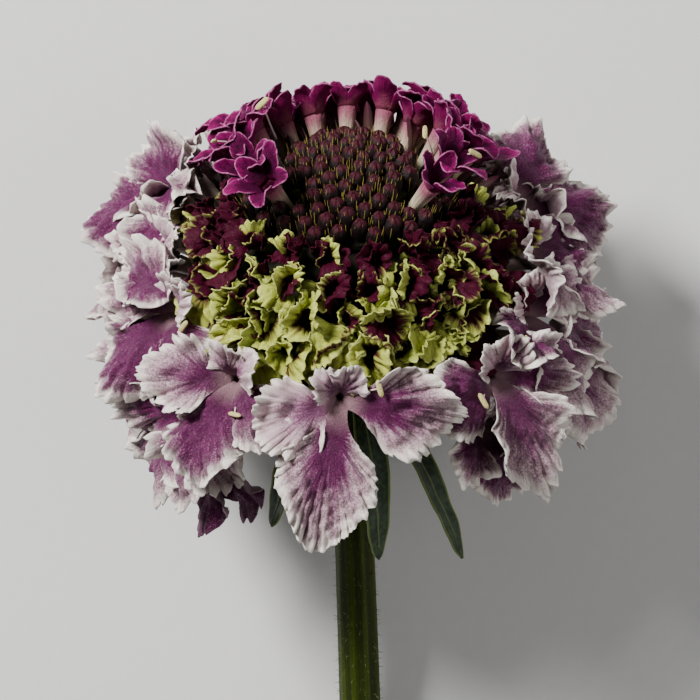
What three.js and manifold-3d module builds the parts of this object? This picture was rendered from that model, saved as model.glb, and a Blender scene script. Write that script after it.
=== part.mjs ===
// A cut scabiosa (pincushion) flower lying on a table, in millimetres, +Z up.
//
// The domed head leans on the ray florets that the table has pressed flat, and the cut stem curves down to
// lie on the table. Round the dome's axis stand, from the middle outwards, the closed buds, a crown of open
// dark florets, a band of small crimped young florets, the large ruffled ray florets, and the green bracts.
// Every floret is a set of thin blades that grow out of one tube or out of the dome.
import * as THREE from "three";
import { mergeVertices } from "three/addons/utils/BufferGeometryUtils.js";
import Module from "manifold-3d";

const wasm = await Module();
wasm.setup();
const { Manifold, Mesh: SolidMesh } = wasm;

// ---- driving dimensions: millimetres, degrees ----
const GAP = 0.3; // clearance between two nodes that touch on the real flower
const BLADE = 0.6; // thickness of petals and bracts
const LEAF_BLADE = 0.7;

const HEAD_TILT = 30; // the face looks this far up from the table
const HEAD_HEIGHT = 25; // middle of the dome above the table
const PRESS_DEPTH = 3; // petals within this of the table start to lie down on it

const RECEPTACLE_RADIUS = 10.5;
const CORE_INNER = RECEPTACLE_RADIUS + GAP;
const BUD_CORE = 19.2; // the buds stand out of this radius
const BAND_CORE = 18; // the young florets and the crown stand out of this one
const RAY_CORE = 14;

const BUD_RADIUS = 1;
const BUD_HEIGHT = 2.1; // from the middle of a bud to its tip
const BUD_SPACING = 2.3;

const CROWN_POLAR = 26; // the crown's inner edge
const CROWN_ARM_POLAR = 34; // outer edge of its two arms, on the near side
const BAND_POLAR = 41; // the young florets' inner edge
// The ray florets' inner edge, from the near middle to the sides, where they crowd up towards the crown:
// polar angle, and how far from the near middle it holds.
const RAY_EDGES = [
  { polar: 84, reach: 50 },
  { polar: 74, reach: 72 },
  { polar: 64, reach: 180 },
];
const RAY_END_POLAR = 118;
const ARM_AZIMUTH = 45; // the crown's arms start here, either side of the near middle
const BAND_AZIMUTH = 105; // the young florets end here, and the crown takes over

const STEM_TOP_RADIUS = 2.4;
const STEM_END_RADIUS = 2.9;
const STEM_REACH = 100; // from the head's middle to the cut end, along the table
const STEM_ASIDE = 1.8; // the cut end lies this far to +X of the head's middle
const STEM_FLAT = 16; // length that lies on the table
const STEM_SIDES = 12;
const STEM_STEPS = 10;
const STEM_SINK = 3; // the stem starts this deep in the receptacle
const STEM_NECK = 22; // how firmly it keeps the dome's direction where it leaves
const STEM_SETTLE = 34; // how gently it comes down to the table
const COLLAR_TOP = -10.8; // the bracts' collar, along the dome's axis
const COLLAR_BOTTOM = -13.2;
const COLLAR_RADIUS = 5.4;
const NECK_RADIUS = 2.9;

const NECK_LENGTH = 2.5; // below the collar, where the neck narrows to the stem
// The receptacle from its neck to its top: radius, and height along the dome's axis.
const RECEPTACLE_PROFILE = [
  [6, -9],
  [RECEPTACLE_RADIUS, -1],
  [7.6, 7],
  [0, RECEPTACLE_RADIUS],
];
const TURNED_SIDES = 12; // of the collar and the receptacle

// A petal widens from its claw to its full width between these shares of its length.
const SPREAD_FROM = 0.08;
const SPREAD_TO = 0.72;
const LEAF_WIDEST = 0.3; // share of a leaf's length
const LEAF_TAPER = 2.2; // power of the curve from there to its tip
const WAVE_CENTRE = 0.25; // share of a lobe's length, from which its margin's waves fan out
const THROAT_WIDTH = 0.62; // a tube's inner rim, as a share of its mouth
const THROAT_RIM = 0.5; // the inner rim's height
const THROAT_PIT = 0.3; // the throat's depth

const PROBE = 0.02; // step that finds the direction of a surface
const SLIVER = 0.02; // edges shorter than this are closed up

const COLOURS = {
  stem: { color: 0x55691f, roughness: 0.6 },
  bracts: { color: 0x24361a, roughness: 0.55 },
  disc_buds: { color: 0x2a0a1c, roughness: 0.5 },
  crown_florets: { color: 0x7a0f56, roughness: 0.5 },
  young_florets: { color: 0xa9b55a, roughness: 0.55 },
  ray_florets: { color: 0xd9bcd6, roughness: 0.6 },
};

// ---- small helpers ----
const rad = THREE.MathUtils.degToRad;
const mix = THREE.MathUtils.lerp;
const rise = (low, high, x) => THREE.MathUtils.smoothstep(x, low, high);

/** A repeatable draw from 0 to 1 for repeat `i`, feature `k`. */
function draw(i, k) {
  const x = Math.sin(i * 127.1 + k * 311.7) * 43758.5453;
  return x - Math.floor(x);
}
/** A repeatable draw from -1 to 1. */
const sway = (i, k) => 2 * draw(i, k) - 1;

// ---- the head's own directions ----
const AXIS = new THREE.Vector3(0, Math.cos(rad(HEAD_TILT)), Math.sin(rad(HEAD_TILT)));
const NEAR = new THREE.Vector3(0, -Math.sin(rad(HEAD_TILT)), Math.cos(rad(HEAD_TILT)));
const SIDE = new THREE.Vector3(1, 0, 0);
const MIDDLE = new THREE.Vector3(0, 0, HEAD_HEIGHT);

/** Unit direction at a polar angle from the axis and an azimuth from the near side, towards +X. */
function direction(polar, azimuth) {
  return new THREE.Vector3()
    .addScaledVector(AXIS, Math.cos(rad(polar)))
    .addScaledVector(NEAR, Math.sin(rad(polar)) * Math.cos(rad(azimuth)))
    .addScaledVector(SIDE, Math.sin(rad(polar)) * Math.sin(rad(azimuth)));
}

/** The same azimuth between -180 and 180. */
const signed = (azimuth) => ((((azimuth + 180) % 360) + 360) % 360) - 180;

/** A point on the dome. */
const onDome = (radius, polar, azimuth) => direction(polar, azimuth).multiplyScalar(radius).add(MIDDLE);

/** The table bends soft blades: below -PRESS_DEPTH they lie flat, and above PRESS_DEPTH they hang free. */
function press(point, half) {
  const z = point.z;
  if (z >= PRESS_DEPTH) return point;
  const lifted = z <= -PRESS_DEPTH ? 0 : (z + PRESS_DEPTH) ** 2 / (4 * PRESS_DEPTH);
  point.z = half + lifted * (1 - half / PRESS_DEPTH);
  return point;
}

// ---- blades ----
/** Run, rise and slope `along` a strip whose slope turns evenly between knots of [distance, degrees]. */
function bend(knots, along) {
  let run = 0;
  let height = 0;
  let slope = rad(knots[0][1]);
  for (let i = 1; i < knots.length; i++) {
    const [from, to] = [knots[i - 1][0], knots[i][0]];
    const last = i === knots.length - 1;
    const step = (last ? along : Math.min(along, to)) - from;
    if (step <= 0) break;
    const rate = rad(knots[i][1] - knots[i - 1][1]) / (to - from);
    const start = rad(knots[i - 1][1]);
    slope = start + rate * step;
    if (Math.abs(rate) < 1e-6) {
      run += step * Math.cos(start);
      height += step * Math.sin(start);
    } else {
      run += (Math.sin(slope) - Math.sin(start)) / rate;
      height += (Math.cos(start) - Math.cos(slope)) / rate;
    }
  }
  return { run, height, slope };
}

/** The direction at an angle, in radians, from a frame's `out` towards its `side`. */
const fanned = (frame, angle) =>
  frame.out.clone().multiplyScalar(Math.cos(angle)).addScaledVector(frame.side, Math.sin(angle));

/** Half the width of a spoon-shaped petal. */
const petalOutline = (lobe, v) => mix(lobe.claw, lobe.half, rise(SPREAD_FROM, SPREAD_TO, v));
/** Half the width of a lance-shaped leaf. */
function leafOutline(lobe, v) {
  const toTip = Math.max(0, (v - LEAF_WIDEST) / (1 - LEAF_WIDEST));
  const taper = Math.sqrt(Math.max(0, 1 - toTip ** LEAF_TAPER));
  return taper * mix(lobe.claw, lobe.half, rise(0, LEAF_WIDEST, v));
}

/**
 * The middle surface of a lobe, as a function of t (-1 to 1 across) and v (0 to 1 along).
 * frame: at, face (which way the open floret looks), out (which way the middle lobe points), side.
 */
function lobeSurface(frame, lobe) {
  const turn = rad(lobe.turn);
  const along = fanned(frame, turn);
  const across = fanned(frame, turn + Math.PI / 2);
  const outline = lobe.leaf ? leafOutline : petalOutline;
  return (t, v) => {
    const spread = rise(SPREAD_FROM, SPREAD_TO, v);
    const x = outline(lobe, v) * t;
    const y = lobe.length * (v - (lobe.leaf ? 0 : lobe.bow * t * t * spread * v));
    const strip = bend(lobe.knots, Math.max(0, y));
    const margin = 1 - (1 - v) * (1 - spread * t * t);
    const angle = Math.atan2(x, y - WAVE_CENTRE * lobe.length);
    const share = x / lobe.half;
    const wave = lobe.ruffle * spread * margin ** 3 * Math.sin(lobe.waves * angle + lobe.phase);
    const lift = wave + lobe.cup * share * share * Math.abs(lobe.half);
    const roll = rad(lobe.twist) * v;
    const up = lift * Math.cos(roll) + x * Math.sin(roll);
    const sideways = x * Math.cos(roll) - lift * Math.sin(roll);
    return frame.at
      .clone()
      .addScaledVector(along, lobe.start + strip.run - up * Math.sin(strip.slope))
      .addScaledVector(frame.face, strip.height + up * Math.cos(strip.slope))
      .addScaledVector(across, sideways);
  };
}

/** Triangles that join two rows of points, whatever their counts. */
function stitch(rowA, rowB) {
  const made = [];
  let [i, j] = [0, 0];
  while (i < rowA.length - 1 || j < rowB.length - 1) {
    const nextA = rowA.length > 1 ? (i + 0.5) / (rowA.length - 1) : 2;
    const nextB = rowB.length > 1 ? (j + 0.5) / (rowB.length - 1) : 2;
    if (i < rowA.length - 1 && (nextA <= nextB || j === rowB.length - 1)) {
      made.push([rowA[i], rowA[i + 1], rowB[j]]);
      i++;
    } else {
      made.push([rowA[i], rowB[j + 1], rowB[j]]);
      j++;
    }
  }
  return made;
}

/** A closed thin blade on a surface: `counts` points in each row, and the same triangles on both faces. */
function bladeSolid(surface, counts, thickness) {
  const half = thickness / 2;
  const pressed = (t, v) => press(surface(t, v), half);
  const points = [];
  const normals = [];
  const rows = counts.map((count, i) => {
    const v = i / (counts.length - 1);
    return Array.from({ length: count }, (_, j) => {
      const t = count === 1 ? 0 : -1 + (2 * j) / (count - 1);
      const dt = pressed(t + PROBE, v).sub(pressed(t - PROBE, v));
      const dv = pressed(t, v + PROBE).sub(pressed(t, Math.max(0, v - PROBE)));
      points.push(pressed(t, v));
      normals.push(dt.cross(dv).normalize());
      return points.length - 1;
    });
  });
  const total = points.length;
  const vertices = [half, -half].flatMap((offset) =>
    points.map((p, i) => p.clone().addScaledVector(normals[i], offset)),
  );
  for (const p of vertices) p.z = Math.max(p.z, 0);
  const faces = rows.slice(1).flatMap((row, i) => stitch(rows[i], row));
  const sides = rows.slice(1, -1);
  const rim = [
    ...rows[0],
    ...sides.map((row) => row[row.length - 1]),
    ...[...rows[rows.length - 1]].reverse(),
    ...sides.map((row) => row[0]).reverse(),
  ];
  const triangles = [];
  for (const [a, b, c] of faces) triangles.push(a, b, c, a + total, c + total, b + total);
  rim.forEach((a, i) => {
    const b = rim[(i + 1) % rim.length];
    triangles.push(b, a, a + total, b, a + total, b + total);
  });
  return solid(new THREE.BufferGeometry().setFromPoints(vertices).setIndex(triangles));
}

/** Points and triangles that are added to as a closed surface grows. */
class Skin {
  points = [];
  triangles = [];
  add(point) {
    this.points.push(point);
    return this.points.length - 1;
  }
  solid() {
    return solid(new THREE.BufferGeometry().setFromPoints(this.points).setIndex(this.triangles));
  }
}

/** The rows of one lobe past its first: indices of the upper and the lower face's points. */
function lobeRows(skin, surface, counts) {
  const half = BLADE / 2;
  const pressed = (t, v) => press(surface(t, v), half);
  return counts.slice(1).map((count, i) => {
    const v = (i + 1) / (counts.length - 1);
    return Array.from({ length: count }, (_, j) => {
      const t = -1 + (2 * j) / (count - 1);
      const dt = pressed(t + PROBE, v).sub(pressed(t - PROBE, v));
      const dv = pressed(t, v + PROBE).sub(pressed(t, v - PROBE));
      const normal = dv.cross(dt).normalize();
      const [upper, lower] = [half, -half].map((offset) => pressed(t, v).addScaledVector(normal, offset));
      lower.z = Math.max(lower.z, 0);
      upper.z = Math.max(upper.z, 0);
      return { upper: skin.add(upper), lower: skin.add(lower) };
    });
  });
}

/**
 * A floret in one piece: a tube whose mouth opens into separate lobes, given in order of their turn.
 * tube: root (a point), rootRadius, mouth (its radius).
 */
function floretSolid(frame, lobes, tube) {
  const skin = new Skin();
  const count = lobes.length;
  const turnOf = (k) => lobes[(k + count) % count].turn + (k < 0 ? -360 : 0);
  const mouth = lobes.map((lobe, k) => {
    const out = fanned(frame, rad(0.5 * (turnOf(k - 1) + lobe.turn)));
    const rim = frame.at.clone().addScaledVector(frame.face, THROAT_RIM);
    return {
      root: skin.add(tube.root.clone().addScaledVector(out, tube.rootRadius)),
      lower: skin.add(frame.at.clone().addScaledVector(out, tube.mouth)),
      upper: skin.add(rim.addScaledVector(out, THROAT_WIDTH * tube.mouth)),
    };
  });
  const centre = skin.add(frame.at.clone().addScaledVector(frame.face, -THROAT_PIT));
  lobes.forEach((lobe, k) => {
    const [first, last] = [mouth[k], mouth[(k + 1) % count]];
    const rows = [[first, last], ...lobeRows(skin, lobeSurface(frame, lobe), lobe.counts)];
    for (const face of ["upper", "lower"])
      for (let i = 1; i < rows.length; i++)
        for (const [a, b, c] of stitch(...[rows[i - 1], rows[i]].map((row) => row.map((p) => p[face]))))
          skin.triangles.push(...(face === "upper" ? [a, b, c] : [a, c, b]));
    const rim = [first, ...rows.slice(1, -1).map((row) => row[0]), ...rows[rows.length - 1]];
    rim.push(...rows.slice(1, -1).map((row) => row[row.length - 1]).reverse(), last);
    for (let i = 1; i < rim.length; i++) {
      const [p, q] = [rim[i - 1], rim[i]];
      skin.triangles.push(p.upper, q.upper, q.lower, p.upper, q.lower, p.lower);
    }
    skin.triangles.push(last.upper, first.upper, centre);
    skin.triangles.push(first.lower, last.lower, last.root, first.lower, last.root, first.root);
    if (k > 0 && k < count - 1) skin.triangles.push(mouth[0].root, first.root, last.root);
  });
  return skin.solid();
}

// ---- solids ----
/** A closed three.js geometry as a solid that faces outwards. */
function solid(geometry) {
  const bare = geometry.clone();
  for (const name of ["normal", "uv"]) bare.deleteAttribute(name);
  const merged = mergeVertices(bare, 1e-4);
  const index = Array.from(merged.index.array);
  const kept = [];
  for (let i = 0; i < index.length; i += 3) {
    const [a, b, c] = index.slice(i, i + 3);
    if (a !== b && b !== c && a !== c) kept.push(a, b, c);
  }
  const vertProperties = new Float32Array(merged.attributes.position.array);
  const facing = (corners) => new Manifold(new SolidMesh({ numProp: 3, vertProperties, triVerts: corners }));
  const made = facing(new Uint32Array(kept));
  return made.volume() >= 0 ? made : facing(new Uint32Array(kept).reverse());
}

/** The same geometry with every vertex sent through `map`. */
function warped(geometry, map) {
  const position = geometry.getAttribute("position");
  const p = new THREE.Vector3();
  for (let i = 0; i < position.count; i++) {
    map(p.fromBufferAttribute(position, i));
    position.setXYZ(i, p.x, p.y, p.z);
  }
  return geometry;
}

const CORE_STEP = 15; // degrees between a core's corners
const CORE_MERGE = 5; // a regular corner this near to a zone's edge is left out

/** Zone edges with regular lines between them, in order. */
function gridLines(edges, regular) {
  const kept = regular.filter((line) => edges.every((edge) => Math.abs(edge - line) > CORE_MERGE));
  return [...new Set([...edges, ...kept])].sort((a, b) => a - b);
}

/**
 * A shell of the dome in one piece. Each zone is a range of polar angles and a reach: how far from the near
 * middle, to either side, it starts and ends.
 */
function domeCore(zones, [inner, outer]) {
  const polarEdges = zones.flatMap((zone) => zone.polar);
  const [low, high] = [Math.min(...polarEdges), Math.max(...polarEdges)];
  const rings = Array.from({ length: 180 / CORE_STEP }, (_, i) => i * CORE_STEP);
  const polars = gridLines(
    polarEdges,
    rings.filter((polar) => polar > low && polar < high),
  );
  const sideEdges = zones.flatMap((zone) => zone.reach.flatMap((reach) => [-reach, reach]));
  const azimuths = gridLines(
    sideEdges.filter((edge) => Math.abs(edge) % 180 > 0),
    Array.from({ length: 360 / CORE_STEP }, (_, i) => i * CORE_STEP - 180),
  );
  const [rows, columns] = [polars.length, azimuths.length];
  const inside = (i, j) => {
    if (i < 0 || i >= rows - 1) return false;
    const column = (j + columns) % columns;
    const next = column + 1 < columns ? azimuths[column + 1] : azimuths[0] + 360;
    const polar = 0.5 * (polars[i] + polars[i + 1]);
    const azimuth = Math.abs(signed(0.5 * (azimuths[column] + next)));
    return zones.some(
      ({ polar: [a, b], reach: [c, d] }) => a < polar && polar < b && c < azimuth && azimuth < d,
    );
  };
  const skin = new Skin();
  for (const radius of [outer, inner])
    for (const polar of polars) for (const azimuth of azimuths) skin.add(onDome(radius, polar, azimuth));
  const top = (i, j) => i * columns + ((j + columns) % columns);
  const under = (i, j) => rows * columns + top(i, j);
  const quad = (a, b, c, d) => skin.triangles.push(a, b, c, a, c, d);
  for (let i = 0; i < rows - 1; i++)
    for (let j = 0; j < columns; j++) {
      if (!inside(i, j)) continue;
      quad(top(i, j), top(i + 1, j), top(i + 1, j + 1), top(i, j + 1));
      quad(under(i, j + 1), under(i + 1, j + 1), under(i + 1, j), under(i, j));
      const wall = ([a, b], [c, d]) => quad(top(a, b), top(c, d), under(c, d), under(a, b));
      if (!inside(i - 1, j)) wall([i, j], [i, j + 1]);
      if (!inside(i + 1, j)) wall([i + 1, j + 1], [i + 1, j]);
      if (!inside(i, j - 1)) wall([i + 1, j], [i, j]);
      if (!inside(i, j + 1)) wall([i, j + 1], [i + 1, j + 1]);
    }
  return skin.solid();
}

/** A lathe geometry, turned about Y at the origin, moved onto the dome's axis. */
function alongAxis(geometry) {
  return warped(geometry, (p) => {
    const [x, y, z] = [p.x, p.y, p.z];
    p.copy(MIDDLE).addScaledVector(SIDE, x).addScaledVector(AXIS, y).addScaledVector(NEAR, z);
  });
}

// ---- floret frames and lobes ----
/** Where a floret opens, which way it looks, and the directions of its lobes. */
function floretFrame(radius, polar, azimuth, facePolar, faceAzimuth, roll) {
  const face = direction(facePolar, faceAzimuth);
  const out = direction(facePolar + 90, faceAzimuth).applyAxisAngle(face, rad(roll));
  return { at: onDome(radius, polar, azimuth), face, out, side: new THREE.Vector3().crossVectors(face, out) };
}

const LOBE = { claw: 1, bow: 0.36, cup: 0, twist: 0, start: 1, ruffle: 0, waves: 6.3, phase: 0, leaf: false };

// Ray florets: the throat's polar angle, azimuth and distance from the dome's middle; the polar angle and
// azimuth that the face looks along; roll; size; seed.
const RAY_PLACES = [
  [89, -3, 24.5, 62, -3, 0, 1, 0],
  [91, 44, 24.5, 64, 38, 0, 1, 13],
  [89, -34, 24.5, 62, -30, -8, 1, 7],
  [100, -83, 24.5, 74, -72, 0, 0.95, 1],
  [80, -64, 23, 56, -56, -12, 0.95, 19],
  [74, -86, 22.5, 48, -80, 0, 0.95, 44],
  [66, -108, 23.5, 48, -56, -50, 1, 36],
  [97, 78, 24.5, 72, 68, 0, 1, 8],
  [82, 66, 23, 56, 58, 10, 0.95, 6],
  [74, 87, 22.5, 48, 80, 0, 0.95, 30],
  [66, 110, 23.5, 48, 56, 50, 1, 15],
  [107, 42, 24.5, 84, 44, 8, 0.8, 7],
  [105, -50, 24.5, 84, -50, -8, 0.9, 29],
  [86, 112, 24.5, 60, 110, 0, 0.95, 8],
  [86, -118, 24.5, 60, -116, 0, 0.95, 13],
  [73, 131, 24.5, 54, 110, 0, 0.9, 7],
  [73, -135, 24.5, 54, -114, 0, 0.9, 36],
  [88, 142, 24.5, 62, 142, 0, 0.9, 13],
  [88, -150, 24.5, 62, -150, 0, 0.9, 19],
  [73, 157, 24.5, 50, 157, 0, 0.9, 30],
  [73, -166, 24.5, 50, -166, 0, 0.9, 32],
  [88, 177, 24.5, 62, 177, 0, 0.9, 7],
];
const RAY_TUBE = { rootRadius: 0.9, mouth: 1.6 };
const RAY_SINK = 1; // the tubes' roots lie this deep in the core
const RAY_DROOP = 6; // degrees that a root lies behind its throat
const RAY_SEAT = 7; // least angle from a root to the core's inner edge
const LARGE_LOBE = { middle: 15, side: 12.4, middleHalf: 0.38, sideHalf: 0.42, turn: 72, claw: 1.3 };
const SMALL_LOBE = { length: 6.2, half: 0.44, turn: 143, claw: 0.9 };
const FRONT_SMALL = 5.2; // length of the nearest ray floret's small lobes
// The nearest ray floret's large lobes, from left to right: turn, length, half width.
const FRONT_LOBES = [
  [-64, 11.6, 5],
  [-7, 19, 6],
  [80, 15.5, 5.4],
];

/** The five lobes of ray floret `i`: three large ones outwards and two small ones inwards. */
function rayLobes(i, size) {
  const large = [-1, 0, 1].map((place) => {
    const k = 10 * (place + 2);
    const grown = (place ? LARGE_LOBE.side : LARGE_LOBE.middle) * size * (1 + 0.1 * sway(i, k));
    const plump = (place ? LARGE_LOBE.sideHalf : LARGE_LOBE.middleHalf) * (1 + 0.1 * sway(i, k + 2));
    const [turn, length, half] = i
      ? [LARGE_LOBE.turn * place + 9 * sway(i, k + 1), grown, grown * plump]
      : FRONT_LOBES[place + 1];
    return {
      ...LOBE,
      turn,
      length,
      half,
      claw: LARGE_LOBE.claw,
      knots: [
        [0, 52],
        [4.5, 16 + 10 * sway(i, k + 3)],
        [length, -16 + 24 * sway(i, k + 4)],
      ],
      cup: 0.12 * sway(i, k + 5),
      twist: 20 * sway(i, k + 6),
      ruffle: 1 + 0.3 * sway(i, k + 7),
      phase: 6.3 * draw(i, k + 8),
      counts: [2, 4, 6],
    };
  });
  const small = [-1, 1].map((place) => {
    const k = 50 + 10 * place;
    const length = (i ? SMALL_LOBE.length : FRONT_SMALL) * size * (1 + 0.15 * sway(i, k));
    return {
      ...LOBE,
      turn: SMALL_LOBE.turn * place + 10 * sway(i, k + 1),
      length,
      half: length * SMALL_LOBE.half,
      claw: SMALL_LOBE.claw,
      knots: [
        [0, 62],
        [2, 46],
        [length, 2 + 22 * sway(i, k + 2)],
      ],
      cup: 0.15,
      counts: [2, 3],
    };
  });
  return [small[0], ...large, small[1]];
}

function rayFlorets() {
  return RAY_PLACES.map(([polar, azimuth, throat, facePolar, faceAzimuth, roll, size, i]) => {
    const frame = floretFrame(throat, polar, azimuth, facePolar, faceAzimuth, roll);
    const edge = RAY_EDGES.find(({ reach }) => Math.abs(azimuth) < reach).polar;
    const root = onDome(RAY_CORE - RAY_SINK, Math.max(polar + RAY_DROOP, edge + RAY_SEAT), azimuth);
    return floretSolid(frame, rayLobes(i, size), { root, ...RAY_TUBE });
  });
}

// Young florets: rows on the near side, larger towards the rays.
const YOUNG_SEED = 215;
const YOUNG_THROAT = BAND_CORE + 1.7; // from the dome's middle
const YOUNG_TUBE = { rootRadius: 0.7, mouth: 1.1 };
const BAND_SINK = 0.7; // the roots of the young and the crown florets lie this deep in their core
const YOUNG_ROWS = [
  { polar: 46.5, reach: 96, count: 10, size: 2.4 },
  { polar: 57, reach: 94, count: 12, size: 2.5 },
  { polar: 67.5, reach: 66, count: 9, size: 2.7 },
  { polar: 78, reach: 44, count: 6, size: 2.7 },
];

function youngPlaces() {
  return YOUNG_ROWS.flatMap(({ polar, reach, count, size }, row) =>
    Array.from({ length: count }, (_, j) => {
      const i = YOUNG_SEED + 20 * row + j;
      const step = (2 * reach) / count;
      const azimuth = -reach + step * (j + 0.5) + 0.15 * step * sway(i, 1);
      return { i, polar: polar + 0.7 * sway(i, 2), azimuth, size: size * (1 + 0.1 * sway(i, 3)) };
    }),
  );
}

function youngLobes(i, size) {
  return [-2, -1, 0, 1].map((place) => {
    const k = 10 * (place + 3);
    const length = size * (1 + 0.14 * sway(i, k));
    return {
      ...LOBE,
      turn: 90 * place + 12 * sway(i, k + 1),
      length,
      half: 0.46 * length,
      knots: [
        [0, 70],
        [length, 30 + 24 * sway(i, k + 2)],
      ],
      start: 0.75,
      counts: [2, 3],
    };
  });
}

function youngFlorets() {
  return youngPlaces().map(({ i, polar, azimuth, size }) => {
    const frame = floretFrame(YOUNG_THROAT, polar, azimuth, polar, azimuth, 45 * sway(i, 8));
    const root = onDome(BAND_CORE - BAND_SINK, polar, azimuth);
    return floretSolid(frame, youngLobes(i, size), { root, ...YOUNG_TUBE });
  });
}

// Crown florets: a horseshoe that starts either side of the near middle and runs round the far side.
const CROWN_SEED = 266;
const CROWN_TUBE = { rootRadius: 0.6, mouth: 1.35 };
const CROWN_FLARE = 5; // degrees that an open floret looks further out than its place
const CROWN_ROWS = [
  { polar: 30, from: 52, count: 13, throat: 23.9, size: 4.5 },
  { polar: 43, from: 120, count: 5, throat: 23.5, size: 4.5 },
  { polar: 53, from: 134, count: 4, throat: 22.5, size: 4.2 },
];

function crownPlaces() {
  return CROWN_ROWS.flatMap(({ polar, from, count, throat, size }, row) =>
    Array.from({ length: count }, (_, j) => {
      const i = CROWN_SEED + 20 * row + j;
      const azimuth = mix(from, 360 - from, j / (count - 1)) + 2 * sway(i, 1);
      return { i, polar: polar + 1.2 * sway(i, 2), azimuth, throat: throat + 0.7 * sway(i, 3), size };
    }),
  );
}

function crownLobes(i, size) {
  return [-2, -1, 0, 1, 2].map((place) => {
    const k = 10 * (place + 3);
    const length = size * (place ? 0.9 : 1.1) * (1 + 0.12 * sway(i, k));
    return {
      ...LOBE,
      turn: 72 * place + 8 * sway(i, k + 1),
      length,
      half: 0.32 * length,
      claw: 0.8,
      bow: 0.45,
      knots: [
        [0, 64],
        [length, 24 + 16 * sway(i, k + 2)],
      ],
      cup: 0.2,
      counts: [2, 3],
    };
  });
}

function crownFlorets() {
  return crownPlaces().map(({ i, polar, azimuth, throat, size }) => {
    const facePolar = polar + 1 + CROWN_FLARE + 4 * sway(i, 9);
    const frame = floretFrame(throat, polar + 1, azimuth, facePolar, azimuth, 36 * sway(i, 8));
    const root = onDome(BAND_CORE - BAND_SINK, polar - 0.5, azimuth);
    return floretSolid(frame, crownLobes(i, size), { root, ...CROWN_TUBE });
  });
}

// Buds: a spiral of equal areas on the dome's top.
const GOLDEN_ANGLE = 137.508;
const BUD_SIDES = 5;
const BUD_ROOT = -1.3; // heights along a bud, as shares of its height
const BUD_WAIST = 0.3;
const BUD_SINK = 0.2; // a bud's middle lies this deep in the core
const BUD_SEED = 300;
// Least angles from a bud to the crown and to the young florets.
const CROWN_CLEAR = 2.5;
const BAND_CLEAR = 4;
const ARM_CLEAR = { polar: 2, azimuth: 4, end: 7 };

function budPlaces() {
  const area = (Math.sqrt(3) / 2) * BUD_SPACING ** 2;
  const places = [];
  for (let n = 0; ; n++) {
    const height = 1 - ((n + 0.4) * area) / (2 * Math.PI * (BUD_CORE + 1) ** 2);
    const polar = THREE.MathUtils.radToDeg(Math.acos(height));
    if (polar > BAND_POLAR - BAND_CLEAR) return places;
    const azimuth = signed(n * GOLDEN_ANGLE);
    const across = Math.abs(azimuth);
    const inMiddle = polar < CROWN_POLAR - CROWN_CLEAR;
    const inFront = across < ARM_AZIMUTH - ARM_CLEAR.azimuth;
    const pastArms = polar > CROWN_ARM_POLAR + ARM_CLEAR.polar && across < BAND_AZIMUTH - ARM_CLEAR.end;
    if (inMiddle || inFront || pastArms) places.push({ i: BUD_SEED + n, polar, azimuth });
  }
}

/** A pointed dome that stands out of the core. */
function budSolid({ i, polar, azimuth }) {
  const size = 1 + 0.08 * sway(i, 1);
  const profile = [
    [0, BUD_ROOT],
    [BUD_RADIUS, BUD_WAIST],
    [0, 1],
  ].map(([r, h]) => new THREE.Vector2(r * size, h * size * BUD_HEIGHT));
  const upright = new THREE.Vector3(0, 1, 0);
  const turned = new THREE.Quaternion().setFromUnitVectors(upright, direction(polar, azimuth));
  const at = onDome(BUD_CORE - BUD_SINK, polar, azimuth);
  return solid(warped(new THREE.LatheGeometry(profile, BUD_SIDES), (p) => p.applyQuaternion(turned).add(at)));
}

const buds = () => budPlaces().map(budSolid);

// ---- bracts and stem ----
// Bracts: [azimuth, length, slope at the root, slope at the tip, turn]
const BRACT_PLACES = [
  [16, 21.5, -44, -84, 6],
  [50, 24, -30, -62, 0],
  [92, 20, -14, -60, 0],
  [140, 19, -8, -40, 0],
  [180, 17, 0, -25, 0],
  [222, 19, -8, -40, 0],
  [264, 20, -14, -60, 0],
  [318, 18.5, -26, -66, 0],
];
const BRACT_HALF = 2;
const BRACT_SINK = 1.6; // a bract starts this deep in the collar
const BRACT_ELBOW = { at: 0.4, share: 0.75 }; // by this share of its length, this much of its bending is done

function bracts() {
  const middle = 0.5 * (COLLAR_TOP + COLLAR_BOTTOM);
  return BRACT_PLACES.map(([azimuth, length, rootSlope, tipSlope, turn], i) => {
    const out = direction(90, azimuth);
    const frame = {
      at: MIDDLE.clone().addScaledVector(AXIS, middle).addScaledVector(out, COLLAR_RADIUS - BRACT_SINK),
      face: AXIS.clone(),
      out,
      side: new THREE.Vector3().crossVectors(AXIS, out),
    };
    const lobe = {
      ...LOBE,
      leaf: true,
      turn,
      length,
      half: BRACT_HALF * (1 + 0.1 * sway(i, 1)),
      claw: 1.1,
      start: 0,
      knots: [
        [0, rootSlope],
        [BRACT_ELBOW.at * length, mix(rootSlope, tipSlope, BRACT_ELBOW.share)],
        [length, tipSlope],
      ],
      cup: 0.22,
      twist: 16 * sway(i, 2),
      counts: [2, 3, 3, 3, 2],
    };
    return bladeSolid(lobeSurface(frame, lobe), lobe.counts, LEAF_BLADE);
  });
}

/** The ring round the neck that carries the bracts. */
function collar() {
  const inner = NECK_RADIUS + GAP;
  const profile = [
    [inner, COLLAR_TOP],
    [inner, COLLAR_BOTTOM],
    [COLLAR_RADIUS - 1, COLLAR_BOTTOM],
    [COLLAR_RADIUS, COLLAR_TOP],
    [inner, COLLAR_TOP],
  ].map(([r, h]) => new THREE.Vector2(r, h));
  return solid(alongAxis(new THREE.LatheGeometry(profile, TURNED_SIDES)));
}

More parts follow.
